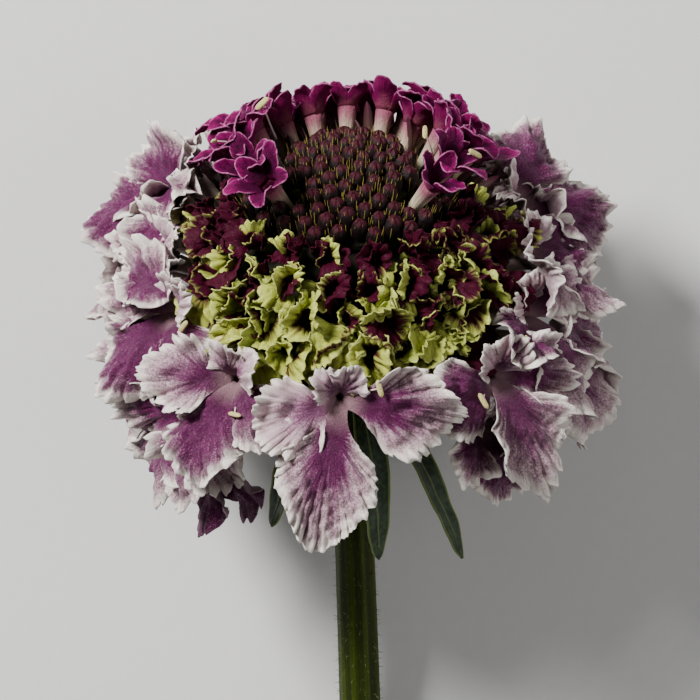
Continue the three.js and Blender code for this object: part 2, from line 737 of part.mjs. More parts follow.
/** The stem's centre line: straight out of the neck, then down to a last stretch that lies on the table. */
function stemCurve() {
  const endHeight = STEM_END_RADIUS * Math.cos(Math.PI / STEM_SIDES);
  const start = MIDDLE.clone().addScaledVector(AXIS, STEM_SINK - RECEPTACLE_RADIUS);
  const touch = new THREE.Vector3(STEM_ASIDE, -STEM_REACH + STEM_FLAT, endHeight);
  const curve = new THREE.CurvePath();
  curve.add(
    new THREE.CubicBezierCurve3(
      start,
      start.clone().addScaledVector(AXIS, -STEM_NECK),
      touch.clone().add(new THREE.Vector3(0, STEM_SETTLE, 0)),
      touch,
    ),
  );
  curve.add(new THREE.LineCurve3(touch, touch.clone().add(new THREE.Vector3(0, -STEM_FLAT, 0))));
  return curve;
}

function stemSolid() {
  const curve = stemCurve();
  const tube = new THREE.CylinderGeometry(1, 1, 1, STEM_SIDES, STEM_STEPS);
  const length = curve.getLength();
  const stem = solid(
    warped(tube, (p) => {
      const u = 0.5 - p.y;
      const tangent = curve.getTangent(u);
      const up = new THREE.Vector3().crossVectors(SIDE, tangent).normalize();
      const r = mix(STEM_TOP_RADIUS, STEM_END_RADIUS, Math.min(1, (u * length) / (length - STEM_FLAT)));
      const turn = Math.atan2(p.x, p.z) + Math.PI / STEM_SIDES;
      const reach = Math.hypot(p.x, p.z) * r;
      p.copy(curve.getPoint(u))
        .addScaledVector(SIDE, reach * Math.sin(turn))
        .addScaledVector(up, reach * Math.cos(turn));
    }),
  );
  const neckEnd = COLLAR_BOTTOM - NECK_LENGTH;
  const profile = [
    [0, neckEnd],
    [STEM_TOP_RADIUS, neckEnd],
    [NECK_RADIUS, COLLAR_BOTTOM],
    [NECK_RADIUS, COLLAR_TOP],
    ...RECEPTACLE_PROFILE,
  ].map(([r, h]) => new THREE.Vector2(r, h));
  const receptacle = solid(alongAxis(new THREE.LatheGeometry(profile, TURNED_SIDES)));
  return Manifold.union([stem, receptacle]);
}

// ---- nodes ----
/** The largest body of a solid, with slivers shorter than the tolerance taken out. */
function tidy(made) {
  const bodies = made.decompose().sort((a, b) => b.volume() - a.volume());
  return bodies[0].simplify(SLIVER);
}

// Half the gap between two cores, in degrees of polar angle and of azimuth.
const EDGE = 0.85;
const SIDE_EDGE = 1.3;
const [FRONT, CORNER, SIDES] = RAY_EDGES;

/** Every node but the stem: its core and its repeats, in one body. */
const NODES = {
  bracts: [collar(), ...bracts()],
  disc_buds: [
    domeCore(
      [
        { polar: [0, CROWN_POLAR - EDGE], reach: [0, 180] },
        { polar: [CROWN_POLAR - EDGE, BAND_POLAR - EDGE], reach: [0, ARM_AZIMUTH - SIDE_EDGE] },
        {
          polar: [CROWN_ARM_POLAR + EDGE, BAND_POLAR - EDGE],
          reach: [ARM_AZIMUTH - SIDE_EDGE, BAND_AZIMUTH - SIDE_EDGE],
        },
      ],
      [CORE_INNER, BUD_CORE],
    ),
    ...buds(),
  ],
  crown_florets: [
    domeCore(
      [
        {
          polar: [CROWN_POLAR + EDGE, CROWN_ARM_POLAR - EDGE],
          reach: [ARM_AZIMUTH + SIDE_EDGE, BAND_AZIMUTH + SIDE_EDGE],
        },
        { polar: [CROWN_POLAR + EDGE, SIDES.polar - EDGE], reach: [BAND_AZIMUTH + SIDE_EDGE, 180] },
      ],
      [CORE_INNER, BAND_CORE],
    ),
    ...crownFlorets(),
  ],
  young_florets: [
    domeCore(
      [
        { polar: [BAND_POLAR + EDGE, SIDES.polar - EDGE], reach: [0, BAND_AZIMUTH - SIDE_EDGE] },
        { polar: [SIDES.polar - EDGE, CORNER.polar - EDGE], reach: [0, CORNER.reach - SIDE_EDGE] },
        { polar: [CORNER.polar - EDGE, FRONT.polar - EDGE], reach: [0, FRONT.reach - SIDE_EDGE] },
      ],
      [CORE_INNER, BAND_CORE],
    ),
    ...youngFlorets(),
  ],
  ray_florets: [
    domeCore(
      [
        { polar: [FRONT.polar + EDGE, RAY_END_POLAR], reach: [0, 180] },
        { polar: [CORNER.polar + EDGE, FRONT.polar + EDGE], reach: [FRONT.reach + SIDE_EDGE, 180] },
        { polar: [SIDES.polar + EDGE, CORNER.polar + EDGE], reach: [CORNER.reach + SIDE_EDGE, 180] },
      ],
      [CORE_INNER, RAY_CORE],
    ),
    ...rayFlorets(),
  ],
};

function meshOf(name, made) {
  const { vertProperties, triVerts } = made.getMesh();
  const geometry = new THREE.BufferGeometry()
    .setAttribute("position", new THREE.BufferAttribute(vertProperties, 3))
    .setIndex(new THREE.BufferAttribute(triVerts, 1));
  geometry.computeVertexNormals();
  const mesh = new THREE.Mesh(geometry, new THREE.MeshStandardMaterial(COLOURS[name]));
  mesh.name = name;
  return mesh;
}

const solids = { stem: tidy(stemSolid()) };
for (const [name, pieces] of Object.entries(NODES)) solids[name] = tidy(Manifold.union(pieces));

const flower = new THREE.Group();
for (const [name, made] of Object.entries(solids)) flower.add(meshOf(name, made));
const box = new THREE.Box3().setFromObject(flower);
flower.position.set(-(box.min.x + box.max.x) / 2, -(box.min.y + box.max.y) / 2, -box.min.z);

export default flower;
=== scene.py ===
"""A cut scabiosa (pincushion) flower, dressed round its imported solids.

Shapes are worked out in millimetres, in the flower's own frame, and turn into metres in the row frame when a
mesh is made.
"""

import functools
import logging
import math
from collections.abc import Iterable, Sequence
from dataclasses import dataclass
from enum import Enum

import bpy
import numpy as np
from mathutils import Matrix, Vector


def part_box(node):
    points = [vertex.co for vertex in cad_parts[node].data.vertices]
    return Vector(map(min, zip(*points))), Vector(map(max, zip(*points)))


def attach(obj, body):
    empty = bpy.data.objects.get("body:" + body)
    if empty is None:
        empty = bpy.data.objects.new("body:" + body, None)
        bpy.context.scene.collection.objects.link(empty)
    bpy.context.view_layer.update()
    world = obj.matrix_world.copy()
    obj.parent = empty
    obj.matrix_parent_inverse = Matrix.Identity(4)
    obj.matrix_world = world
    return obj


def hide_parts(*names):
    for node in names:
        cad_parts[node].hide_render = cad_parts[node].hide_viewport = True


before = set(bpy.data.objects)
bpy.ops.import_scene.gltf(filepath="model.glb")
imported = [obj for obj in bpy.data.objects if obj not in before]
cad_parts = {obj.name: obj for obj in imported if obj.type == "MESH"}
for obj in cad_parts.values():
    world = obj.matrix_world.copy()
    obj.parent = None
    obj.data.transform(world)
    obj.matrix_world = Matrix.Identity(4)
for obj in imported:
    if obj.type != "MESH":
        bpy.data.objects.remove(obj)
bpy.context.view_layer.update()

LOG = logging.getLogger("scabiosa")
MM = 0.001
BODY = "root"
TURN = 2 * math.pi
ANY_PHASE = 6.3
GOLDEN_ANGLE = 137.508

Array = np.ndarray
Colour = tuple[float, float, float]
Zone = tuple[tuple[float, float], tuple[float, float]]


# ---- repeatable draws and small maths ----
def draw(i: float, k: float) -> float:
    """A repeatable draw from 0 to 1 for repeat i, feature k."""
    x = math.sin(i * 127.1 + k * 311.7) * 43758.5453
    return x - math.floor(x)


def sway(i: float, k: float) -> float:
    """A repeatable draw from -1 to 1."""
    return 2 * draw(i, k) - 1


def mix(a: Array | float, b: Array | float, share: Array | float) -> Array | float:
    """The value that lies this share of the way from a to b."""
    return a + (b - a) * share


def rise(low: float, high: float, x: Array | float) -> Array:
    """A smooth step from 0 at low to 1 at high."""
    share = np.clip((np.asarray(x, float) - low) / (high - low), 0, 1)
    return share * share * (3 - 2 * share)


def unit(v: Array) -> Array:
    """Vectors of length 1, along the last axis."""
    return v / np.maximum(np.linalg.norm(v, axis=-1, keepdims=True), 1e-9)


def triple(first: Array | float, second: Array | float, third: Array | float) -> Array:
    """Three values for each point, all spread over the same shape."""
    return np.stack(np.broadcast_arrays(first, second, third), -1)


def angles(sides: int) -> Array:
    """Even angles round a turn, in radians."""
    return np.linspace(0, TURN, sides, endpoint=False)


def circle(first: Array, second: Array, turns: Array) -> Array:
    """Directions at angles from first towards second, with the angles in the axis before the last."""
    return np.cos(turns)[:, None] * first[..., None, :] + np.sin(turns)[:, None] * second[..., None, :]


def bend(knots: Sequence[tuple[float, float]], along: Array) -> tuple[Array, Array, Array]:
    """Run, rise and slope along a strip whose slope turns evenly between knots.

    Args:
        knots: pairs of distance and slope in degrees.
        along: distances along the strip.

    Returns:
        Arrays of the run, the height and the slope in radians.
    """
    run = np.zeros_like(along)
    height = np.zeros_like(along)
    slope = np.full_like(along, math.radians(knots[0][1]))
    for n in range(1, len(knots)):
        (start_at, start_deg), (end_at, end_deg) = knots[n - 1], knots[n]
        reached = along if n == len(knots) - 1 else np.minimum(along, end_at)
        step = np.maximum(reached - start_at, 0)
        start = math.radians(start_deg)
        rate = math.radians(end_deg - start_deg) / (end_at - start_at)
        turned = start + rate * step
        if abs(rate) < 1e-6:
            run += step * math.cos(start)
            height += step * math.sin(start)
        else:
            run += (np.sin(turned) - math.sin(start)) / rate
            height += (math.cos(start) - np.cos(turned)) / rate
        slope = np.where(step > 0, turned, slope)
    return run, height, slope


# ---- the head's own frame ----
@dataclass(frozen=True)
class Head:
    """Where the domed head stands and which way it looks.

    tilt is how far its axis points up from the table, in degrees, height how high its middle stands, and
    press_depth how far a blade may run below the table before it lies flat on it.
    """

    tilt: float = 30.0
    height: float = 25.0
    press_depth: float = 3.0

    @property
    def axis(self) -> Array:
        """The way the dome looks."""
        tilt = math.radians(self.tilt)
        return np.array([0.0, math.cos(tilt), math.sin(tilt)])

    @property
    def near(self) -> Array:
        """Square to the axis, up from the table."""
        tilt = math.radians(self.tilt)
        return np.array([0.0, -math.sin(tilt), math.cos(tilt)])

    @property
    def side(self) -> Array:
        """Towards +X."""
        return np.array([1.0, 0.0, 0.0])

    @property
    def middle(self) -> Array:
        """The middle of the dome."""
        return np.array([0.0, 0.0, self.height])

    def direction(self, polar: Array | float, azimuth: Array | float) -> Array:
        """Unit directions at polar angles from the axis and azimuths from the near side, in degrees."""
        p, a = np.broadcast_arrays(np.radians(polar), np.radians(azimuth))
        return (
            np.cos(p)[..., None] * self.axis
            + (np.sin(p) * np.cos(a))[..., None] * self.near
            + (np.sin(p) * np.sin(a))[..., None] * self.side
        )

    def on_dome(self, radius: Array | float, polar: Array | float, azimuth: Array | float) -> Array:
        """Points at a radius from the dome's middle."""
        return self.direction(polar, azimuth) * np.asarray(radius, float)[..., None] + self.middle

    def press(self, points: Array, half: float) -> Array:
        """Blades near the table lie down on it.

        Args:
            points: points of a blade's middle surface.
            half: half the blade's thickness.

        Returns:
            The points, none lower than half.
        """
        depth = self.press_depth
        z = points[..., 2]
        lifted = np.where(z <= -depth, 0.0, (z + depth) ** 2 / (4 * depth))
        pressed = points.copy()
        pressed[..., 2] = np.where(z >= depth, z, half + lifted * (1 - half / depth))
        return pressed


@dataclass(frozen=True)
class Perch:
    """Where a floret opens, which way it looks, and the directions of its lobes."""

    at: Array
    face: Array
    out: Array
    side: Array

    def fanned(self, degrees: float) -> Array:
        """The direction at an angle from out towards side."""
        angle = math.radians(degrees)
        return self.out * math.cos(angle) + self.side * math.sin(angle)

    @classmethod
    def on(cls, head: Head, place: Sequence[float], face: Sequence[float], roll: float) -> "Perch":
        """A perch on the dome.

        Args:
            head: the head that carries it.
            place: radius, polar angle and azimuth of the throat.
            face: polar angle and azimuth that the open floret looks along.
            roll: how far the middle lobe is turned round the face, in degrees.

        Returns:
            The perch.
        """
        look = head.direction(*face)
        down = head.direction(face[0] + 90, face[1])
        turn = math.radians(roll)
        out = down * math.cos(turn) + np.cross(look, down) * math.sin(turn)
        return cls(head.on_dome(*place), look, out, np.cross(look, out))


# ---- lobes ----
class Outline(Enum):
    """How a lobe's width runs along its length."""

    FAN = "widest near its end"
    SPOON = "a claw, then an oval"
    LEAF = "lance-shaped"


@dataclass(frozen=True)
class Frill:
    """The fine pleats of a lobe's margin, in millimetres.

    pleat is half their height, pitch their width along the margin, scallop how far each reaches out and
    tooth how far pointed teeth do. crumple is the height of the blade's own low swells and crumple_size
    their width. inward says how fast the pleats die away from the margin.
    """

    pleat: float = 0.0
    pitch: float = 1.7
    scallop: float = 0.0
    tooth: float = 0.0
    crumple: float = 0.0
    crumple_size: float = 2.6
    inward: float = 3.0


@dataclass(frozen=True)
class Lobe:
    """One petal lobe or leaf, with lengths in millimetres and angles in degrees.

    turn is its direction round the face, half its half width, knots how it bends along its length, claw
    the half width of its foot and start how far out that stands. bow rounds its end, cup hollows it, twist
    turns its tip and curl lifts its margin. ruffle, waves and phase make its broad waves. dye is how strong
    its colour is and how far that reaches, and back how much its lower face takes the finish's back.
    """

    turn: float
    length: float
    half: float
    knots: tuple[tuple[float, float], ...]
    claw: float = 1.0
    bow: float = 0.36
    cup: float = 0.0
    twist: float = 0.0
    curl: float = 0.0
    start: float = 1.0
    ruffle: float = 0.0
    waves: float = 6.3
    phase: float = 0.0
    shape: Outline = Outline.FAN
    grid: tuple[int, int] = (25, 17)
    frill: Frill = Frill()
    seed: float = 0.0
    dye: tuple[float, float] = (1.0, 0.7)
    back: float = 1.0

    SPREAD_FROM = 0.08
    SPREAD_TO = 0.72
    SIDE_FROM = 0.05
    SIDE_TO = 0.4
    OVAL_FROM = 0.5
    OVAL_TAPER = 1.7
    LEAF_WIDEST = 0.3
    LEAF_TAPER = 2.2
    WAVE_CENTRE = 0.25
    ROW_EASE = 1.35
    RUFFLE_INWARD = 3
    CURL_INWARD = 5
    NOTCH_INWARD = 9

    def outline(self, v: Array) -> Array:
        """Half the width at shares v of the length."""
        if self.shape is Outline.LEAF:
            to_tip = np.maximum(0, (v - self.LEAF_WIDEST) / (1 - self.LEAF_WIDEST))
            taper = np.sqrt(np.maximum(0, 1 - to_tip**self.LEAF_TAPER))
            return taper * mix(self.claw, self.half, rise(0, self.LEAF_WIDEST, v))
        if self.shape is Outline.SPOON:
            to_tip = np.maximum(0, (v - self.OVAL_FROM) / (1 - self.OVAL_FROM))
            oval = np.sqrt(np.maximum(0, 1 - to_tip**self.OVAL_TAPER))
            return oval * mix(self.claw, self.half, rise(0, self.OVAL_FROM, v))
        return mix(self.claw, self.half, rise(self.SPREAD_FROM, self.SPREAD_TO, v))

    def surface(self, perch: Perch) -> tuple[Array, dict[str, Array]]:
        """The lobe's middle surface and what its finish reads.

        Args:
            perch: the floret that it grows from.

        Returns:
            Points of shape (rows, columns, 3), and named values of shape (rows, columns, 3).
        """
        columns, rows = self.grid
        t, v = np.meshgrid(np.linspace(-1, 1, columns), 1 - (1 - np.linspace(0, 1, rows)) ** self.ROW_EASE)
        spread = rise(self.SPREAD_FROM, self.SPREAD_TO, v)
        side = rise(self.SIDE_FROM, self.SIDE_TO, v)
        margin = 1 - (1 - v) * (1 - side * t * t)
        x = self.outline(v) * t
        bowed = self.bow if self.shape is Outline.FAN else 0.0
        y = self.length * (v - bowed * t * t * spread * v)
        angle = np.arctan2(x, y - self.WAVE_CENTRE * self.length)
        share = x / self.half
        fold = self._fold(angle)
        frill = self.frill
        edge = side * margin**frill.inward
        out = (frill.scallop * fold + frill.tooth * self._teeth(angle)) * side * margin**self.NOTCH_INWARD
        run, height, slope = bend(self.knots, np.maximum(0, y + np.cos(angle) * out))
        x_out = x + np.sin(angle) * out
        wave = self.ruffle * spread * margin**self.RUFFLE_INWARD * np.sin(self.waves * angle + self.phase)
        lift = wave + self.cup * share * share * abs(self.half) + self.curl * side * margin**self.CURL_INWARD
        lift = lift + frill.pleat * edge * fold + frill.crumple * spread * self._crumple(x, y)
        roll = np.radians(self.twist) * v
        up = lift * np.cos(roll) + x_out * np.sin(roll)
        sideways = x_out * np.cos(roll) - lift * np.sin(roll)
        along, across = perch.fanned(self.turn), perch.fanned(self.turn + 90)
        points = (
            perch.at
            + (self.start + run - up * np.sin(slope))[..., None] * along
            + (height + up * np.cos(slope))[..., None] * perch.face
            + sideways[..., None] * across
        )
        values = {
            "spot": triple(t, v, margin),
            "fan": triple(angle, y, self.seed),
            "dye": triple(0 * t + self.dye[0], self.dye[1], 0),
            "relief": triple(fold * edge, 0, 0),
        }
        return points, values

    def _arc(self, angle: Array) -> Array:
        """About how far along the margin an angle lies, in millimetres."""
        tip = (1 - self.WAVE_CENTRE) * self.length
        return self.half * angle + (tip - self.half) * (0.5 * angle + 0.25 * np.sin(2 * angle))

    def _fold(self, angle: Array) -> Array:
        """Round pleats with narrow valleys between them, from -1 to 1, round the fan's centre."""
        s = self.seed
        arc = self._arc(angle) / self.frill.pitch
        warped = arc + 0.22 * np.sin(1.3 * arc + s) + 0.1 * np.sin(2.9 * arc + 2 * s)
        beat = 0.65 + 0.35 * np.sin(0.9 * arc + 3 * s)
        broad = 2.1 * np.abs(np.sin(math.pi * warped + s)) ** 0.8 - 1.1
        fine = np.sin(TURN * (2.3 * warped + 0.2 * s))
        return broad * beat + 0.22 * fine

    def _teeth(self, angle: Array) -> Array:
        """Pointed teeth, from -1 to 1, of uneven height."""
        s = self.seed
        arc = self._arc(angle) / self.frill.pitch
        saw = 2 * np.abs((1.35 * arc + 0.3 * np.sin(2.1 * arc + s)) % 1.0 - 0.5)
        return (2 * saw - 1) * (0.65 + 0.35 * np.sin(1.7 * arc + 2 * s))

    def _crumple(self, x: Array, y: Array) -> Array:
        """A low irregular swell of the whole blade, from -1 to 1."""
        k = TURN / self.frill.crumple_size
        s = self.seed
        first = np.sin(k * (x + 0.4 * y) + s) * np.cos(0.8 * k * y + 2 * s)
        return 0.5 * first + 0.5 * np.sin(0.6 * k * (y - 0.7 * x) + 3 * s)


# ---- meshes ----
VALUES = ("spot", "fan", "dye", "relief")


class Skin:
    """Points, faces and point values of one piece, gathered sheet by sheet."""

    def __init__(self) -> None:
        """An empty skin."""
        self.points: list[Array] = []
        self.values: dict[str, list[Array]] = {name: [] for name in VALUES}
        self.quads: list[Array] = []
        self.tris: list[Array] = []
        self.count = 0

    def add(self, points: Array, values: dict[str, Array]) -> Array:
        """Adds a grid of points.

        Args:
            points: shape (rows, columns, 3), in millimetres.
            values: what the finish reads, of the same shape.

        Returns:
            The new points' indices, of shape (rows, columns).
        """
        shape = points.shape[:2]
        total = shape[0] * shape[1]
        self.points.append(points.reshape(-1, 3))
        for name in VALUES:
            given = np.broadcast_to(values.get(name, 0.0), points.shape)
            self.values[name].append(given.reshape(-1, 3))
        index = self.count + np.arange(total).reshape(shape)
        self.count += total
        return index

    def _quads(self, a: Array, b: Array, c: Array, d: Array) -> None:
        """Adds quads from four arrays of corners."""
        self.quads.append(np.stack([a.ravel(), b.ravel(), c.ravel(), d.ravel()], -1))

    def sheet(self, middle: Array, half: Array | float, values: dict[str, Array], under: float = 1.0) -> None:
        """A closed thin sheet round a middle surface, on or above the table.

        Args:
            middle: shape (rows, columns, 3).
            half: half the thickness, a number or one for each point.
            values: what the finish reads.
            under: what the lower face's finish reads as its third dye value.
        """
        normal = unit(np.cross(np.gradient(middle, axis=0), np.gradient(middle, axis=1)))
        offset = normal * (np.zeros(middle.shape[:2]) + half)[..., None]
        upper, lower = middle + offset, middle - offset
        for face in (upper, lower):
            face[..., 2] = np.maximum(face[..., 2], 0)
        top = self.add(upper, values)
        bottom = self.add(lower, values | {"dye": values["dye"] + np.array([0, 0, under])})
        self._quads(top[:-1, :-1], top[1:, :-1], top[1:, 1:], top[:-1, 1:])
        self._quads(bottom[:-1, :-1], bottom[:-1, 1:], bottom[1:, 1:], bottom[1:, :-1])
        self._quads(top[0, :-1], top[0, 1:], bottom[0, 1:], bottom[0, :-1])
        self._quads(top[-1, 1:], top[-1, :-1], bottom[-1, :-1], bottom[-1, 1:])
        self._quads(top[1:, 0], top[:-1, 0], bottom[:-1, 0], bottom[1:, 0])
        self._quads(top[:-1, -1], top[1:, -1], bottom[1:, -1], bottom[:-1, -1])

    def tube(self, rings: Array, values: dict[str, Array], closed: bool = False) -> None:
        """A closed surface through rings of points, with each end closed by a fan, or joined in a loop.

        Args:
            rings: shape (rings, points, 3), each ring turning the same way.
            values: what the finish reads.
            closed: True joins the last ring to the first, with no ends.
        """
        index = self.add(rings, values)
        turned = np.roll(index, -1, axis=1)
        self._quads(index[:-1], turned[:-1], turned[1:], index[1:])
        if closed:
            self._quads(index[-1], turned[-1], turned[0], index[0])
            return
        for row, flip in ((0, True), (-1, False)):
            centre_values = {name: value[row : row + 1 or None, :1] for name, value in values.items()}
            centre = self.add(rings[row].mean(0)[None, None], centre_values)[0, 0]
            a, b = index[row], turned[row]
            corners = [b, a] if flip else [a, b]
            self.tris.append(np.stack([*corners, np.full_like(a, centre)], -1))

    def piece(self, name: str, material: bpy.types.Material, shift: Array) -> bpy.types.Object:
        """The mesh object, in metres in the row frame, with smooth faces.

        Args:
            name: the piece's name.
            material: its finish.
            shift: where the flower's own origin lies in the row frame, in millimetres.

        Returns:
            The object, linked to the scene.
        """
        points = (np.concatenate(self.points) + shift) * MM
        quads = np.concatenate(self.quads) if self.quads else np.zeros((0, 4), int)
        tris = np.concatenate(self.tris) if self.tris else np.zeros((0, 3), int)
        mesh = bpy.data.meshes.new(name)
        mesh.vertices.add(len(points))
        mesh.vertices.foreach_set("co", points.astype(np.float32).ravel())
        loops = np.concatenate([quads.ravel(), tris.ravel()]).astype(np.int32)
        starts = np.concatenate([np.arange(len(quads)) * 4, len(quads) * 4 + np.arange(len(tris)) * 3])
        mesh.loops.add(len(loops))
        mesh.loops.foreach_set("vertex_index", loops)
        mesh.polygons.add(len(starts))
        mesh.polygons.foreach_set("loop_start", starts.astype(np.int32))
        mesh.update(calc_edges=True)
        mesh.validate()
        for value_name, parts in self.values.items():
            attribute = mesh.attributes.new(value_name, "FLOAT_VECTOR", "POINT")
            attribute.data.foreach_set("vector", np.concatenate(parts).astype(np.float32).ravel())
        mesh.shade_smooth()
        mesh.materials.append(material)
        made = bpy.data.objects.new(name, mesh)
        bpy.context.scene.collection.objects.link(made)
        return made


# ---- shader maths ----
class Wire:
    """A shader value; arithmetic on it adds Math nodes."""

    def __init__(self, sheet: "NodeSheet", socket: bpy.types.NodeSocket) -> None:
        """Wraps a socket of a node sheet."""
        self.sheet = sheet
        self.socket = socket

    def math(self, operation: str, *others: "Wire | float", clamp: bool = False) -> "Wire":
        """A Math node with this value first.

        Args:
            operation: Blender's name of the operation.
            others: the values that follow.
            clamp: True keeps the result from 0 to 1.

        Returns:
            The result.
        """
        inputs = dict(enumerate((self, *others)))
        return self.sheet.wire("ShaderNodeMath", {"operation": operation, "use_clamp": clamp}, inputs)

    def __add__(self, other: "Wire | float") -> "Wire":
        """Sum."""
        return self.math("ADD", other)

    def __sub__(self, other: "Wire | float") -> "Wire":
        """Difference."""
        return self.math("SUBTRACT", other)

    def __rsub__(self, other: float) -> "Wire":
        """A number less this value."""
        return self.sheet.wire("ShaderNodeMath", {"operation": "SUBTRACT"}, {0: other, 1: self})

    def __mul__(self, other: "Wire | float") -> "Wire":
        """Product."""
        return self.math("MULTIPLY", other)

    __radd__ = __add__
    __rmul__ = __mul__

    def absolute(self) -> "Wire":
        """The value without its sign."""
        return self.math("ABSOLUTE")

    def clamped(self) -> "Wire":
        """The value kept from 0 to 1."""
        return self.math("ADD", 0.0, clamp=True)

    def rise(self, low: "Wire | float", high: "Wire | float") -> "Wire":
        """A smooth step from 0 at low to 1 at high."""
        settings = {"interpolation_type": "SMOOTHSTEP", "clamp": True}
        inputs = {"Value": self, "From Min": low, "From Max": high}
        return self.sheet.wire("ShaderNodeMapRange", settings, inputs)


class NodeSheet:
    """A material's node tree, with one method that makes any node."""

    def __init__(self, name: str) -> None:
        """An empty node material of this name."""
        self.material = bpy.data.materials.new(name)
        self.material.use_nodes = True
        self.tree = self.material.node_tree
        self.tree.nodes.clear()

    def node(self, kind: str, settings: dict, inputs: dict) -> bpy.types.Node:
        """Makes a node.

        Args:
            kind: Blender's type name.
            settings: attributes that are set first.
            inputs: values or wires, by the socket's name or number.

        Returns:
            The node.
        """
        made = self.tree.nodes.new(kind)
        for name, value in settings.items():
            setattr(made, name, value)
        for key, value in inputs.items():
            socket = made.inputs[key]
            if isinstance(value, Wire):
                self.tree.links.new(value.socket, socket)
            elif isinstance(value, tuple) and len(value) == 3 and socket.type == "RGBA":
                socket.default_value = (*value, 1.0)
            else:
                socket.default_value = value
        return made

    def wire(self, kind: str, settings: dict, inputs: dict, output: int | str = 0) -> Wire:
        """Makes a node and wraps one of its outputs."""
        return Wire(self, self.node(kind, settings, inputs).outputs[output])

    def parts(self, name: str) -> tuple[Wire, Wire, Wire]:
        """The three numbers of a named point value."""
        found = self.wire("ShaderNodeAttribute", {"attribute_name": name}, {}, "Vector")
        split = self.node("ShaderNodeSeparateXYZ", {}, {0: found})
        return tuple(Wire(self, split.outputs[axis]) for axis in range(3))

    def vector(self, x: Wire | float, y: Wire | float, z: Wire | float) -> Wire:
        """A vector from three numbers."""
        return self.wire("ShaderNodeCombineXYZ", {}, {0: x, 1: y, 2: z})

    def millimetres(self) -> Wire:
        """The point's place on the object, in millimetres."""
        place = self.wire("ShaderNodeTexCoord", {}, {}, "Object")
        return self.wire("ShaderNodeVectorMath", {"operation": "SCALE"}, {0: place, "Scale": 1 / MM})

    def noise(self, place: Wire, scale: float, detail: float = 2.0, roughness: float = 0.5) -> Wire:
        """Smooth noise from 0 to 1, with features about 1/scale across."""
        inputs = {"Vector": place, "Scale": scale, "Detail": detail, "Roughness": roughness}
        return self.wire("ShaderNodeTexNoise", {}, inputs)

    def blend(self, share: Wire | float, a: Wire | Colour, b: Wire | Colour, mode: str = "MIX") -> Wire:
        """A colour between a and b."""
        settings = {"data_type": "RGBA", "blend_type": mode, "clamp_factor": True}
        return self.wire("ShaderNodeMix", settings, {0: share, 6: a, 7: b}, 2)

    def bump(self, height: Wire, strength: float, distance_mm: float) -> Wire:
        """A normal bent by a height."""
        inputs = {"Strength": strength, "Distance": distance_mm * MM, "Height": height}
        return self.wire("ShaderNodeBump", {}, inputs, "Normal")

    def surface(self, colour: Wire, roughness: Wire | float, normal: Wire, constants: dict) -> None:
        """Ends the tree in one shader.

        Args:
            colour: the base colour.
            roughness: roughness, a wire or a number.
            normal: the bent normal.
            constants: what is the same all over, set on the shader's own sockets.
        """
        inputs = {"Base Color": colour, "Roughness": roughness, "Normal": normal, **constants}
        shader = self.wire("ShaderNodeBsdfPrincipled", {}, inputs, "BSDF")
        self.node("ShaderNodeOutputMaterial", {}, {"Surface": shader})


# ---- finishes ----
@dataclass(frozen=True)
class Finish:
    """A named finish; each kind writes its own node tree."""

    name: str

    def write(self, sheet: NodeSheet) -> None:
        """Fills the node sheet."""
        raise NotImplementedError


@functools.cache
def material_of(finish: Finish) -> bpy.types.Material:
    """The finish's material, made once."""
    sheet = NodeSheet(finish.name)
    finish.write(sheet)
    return sheet.material


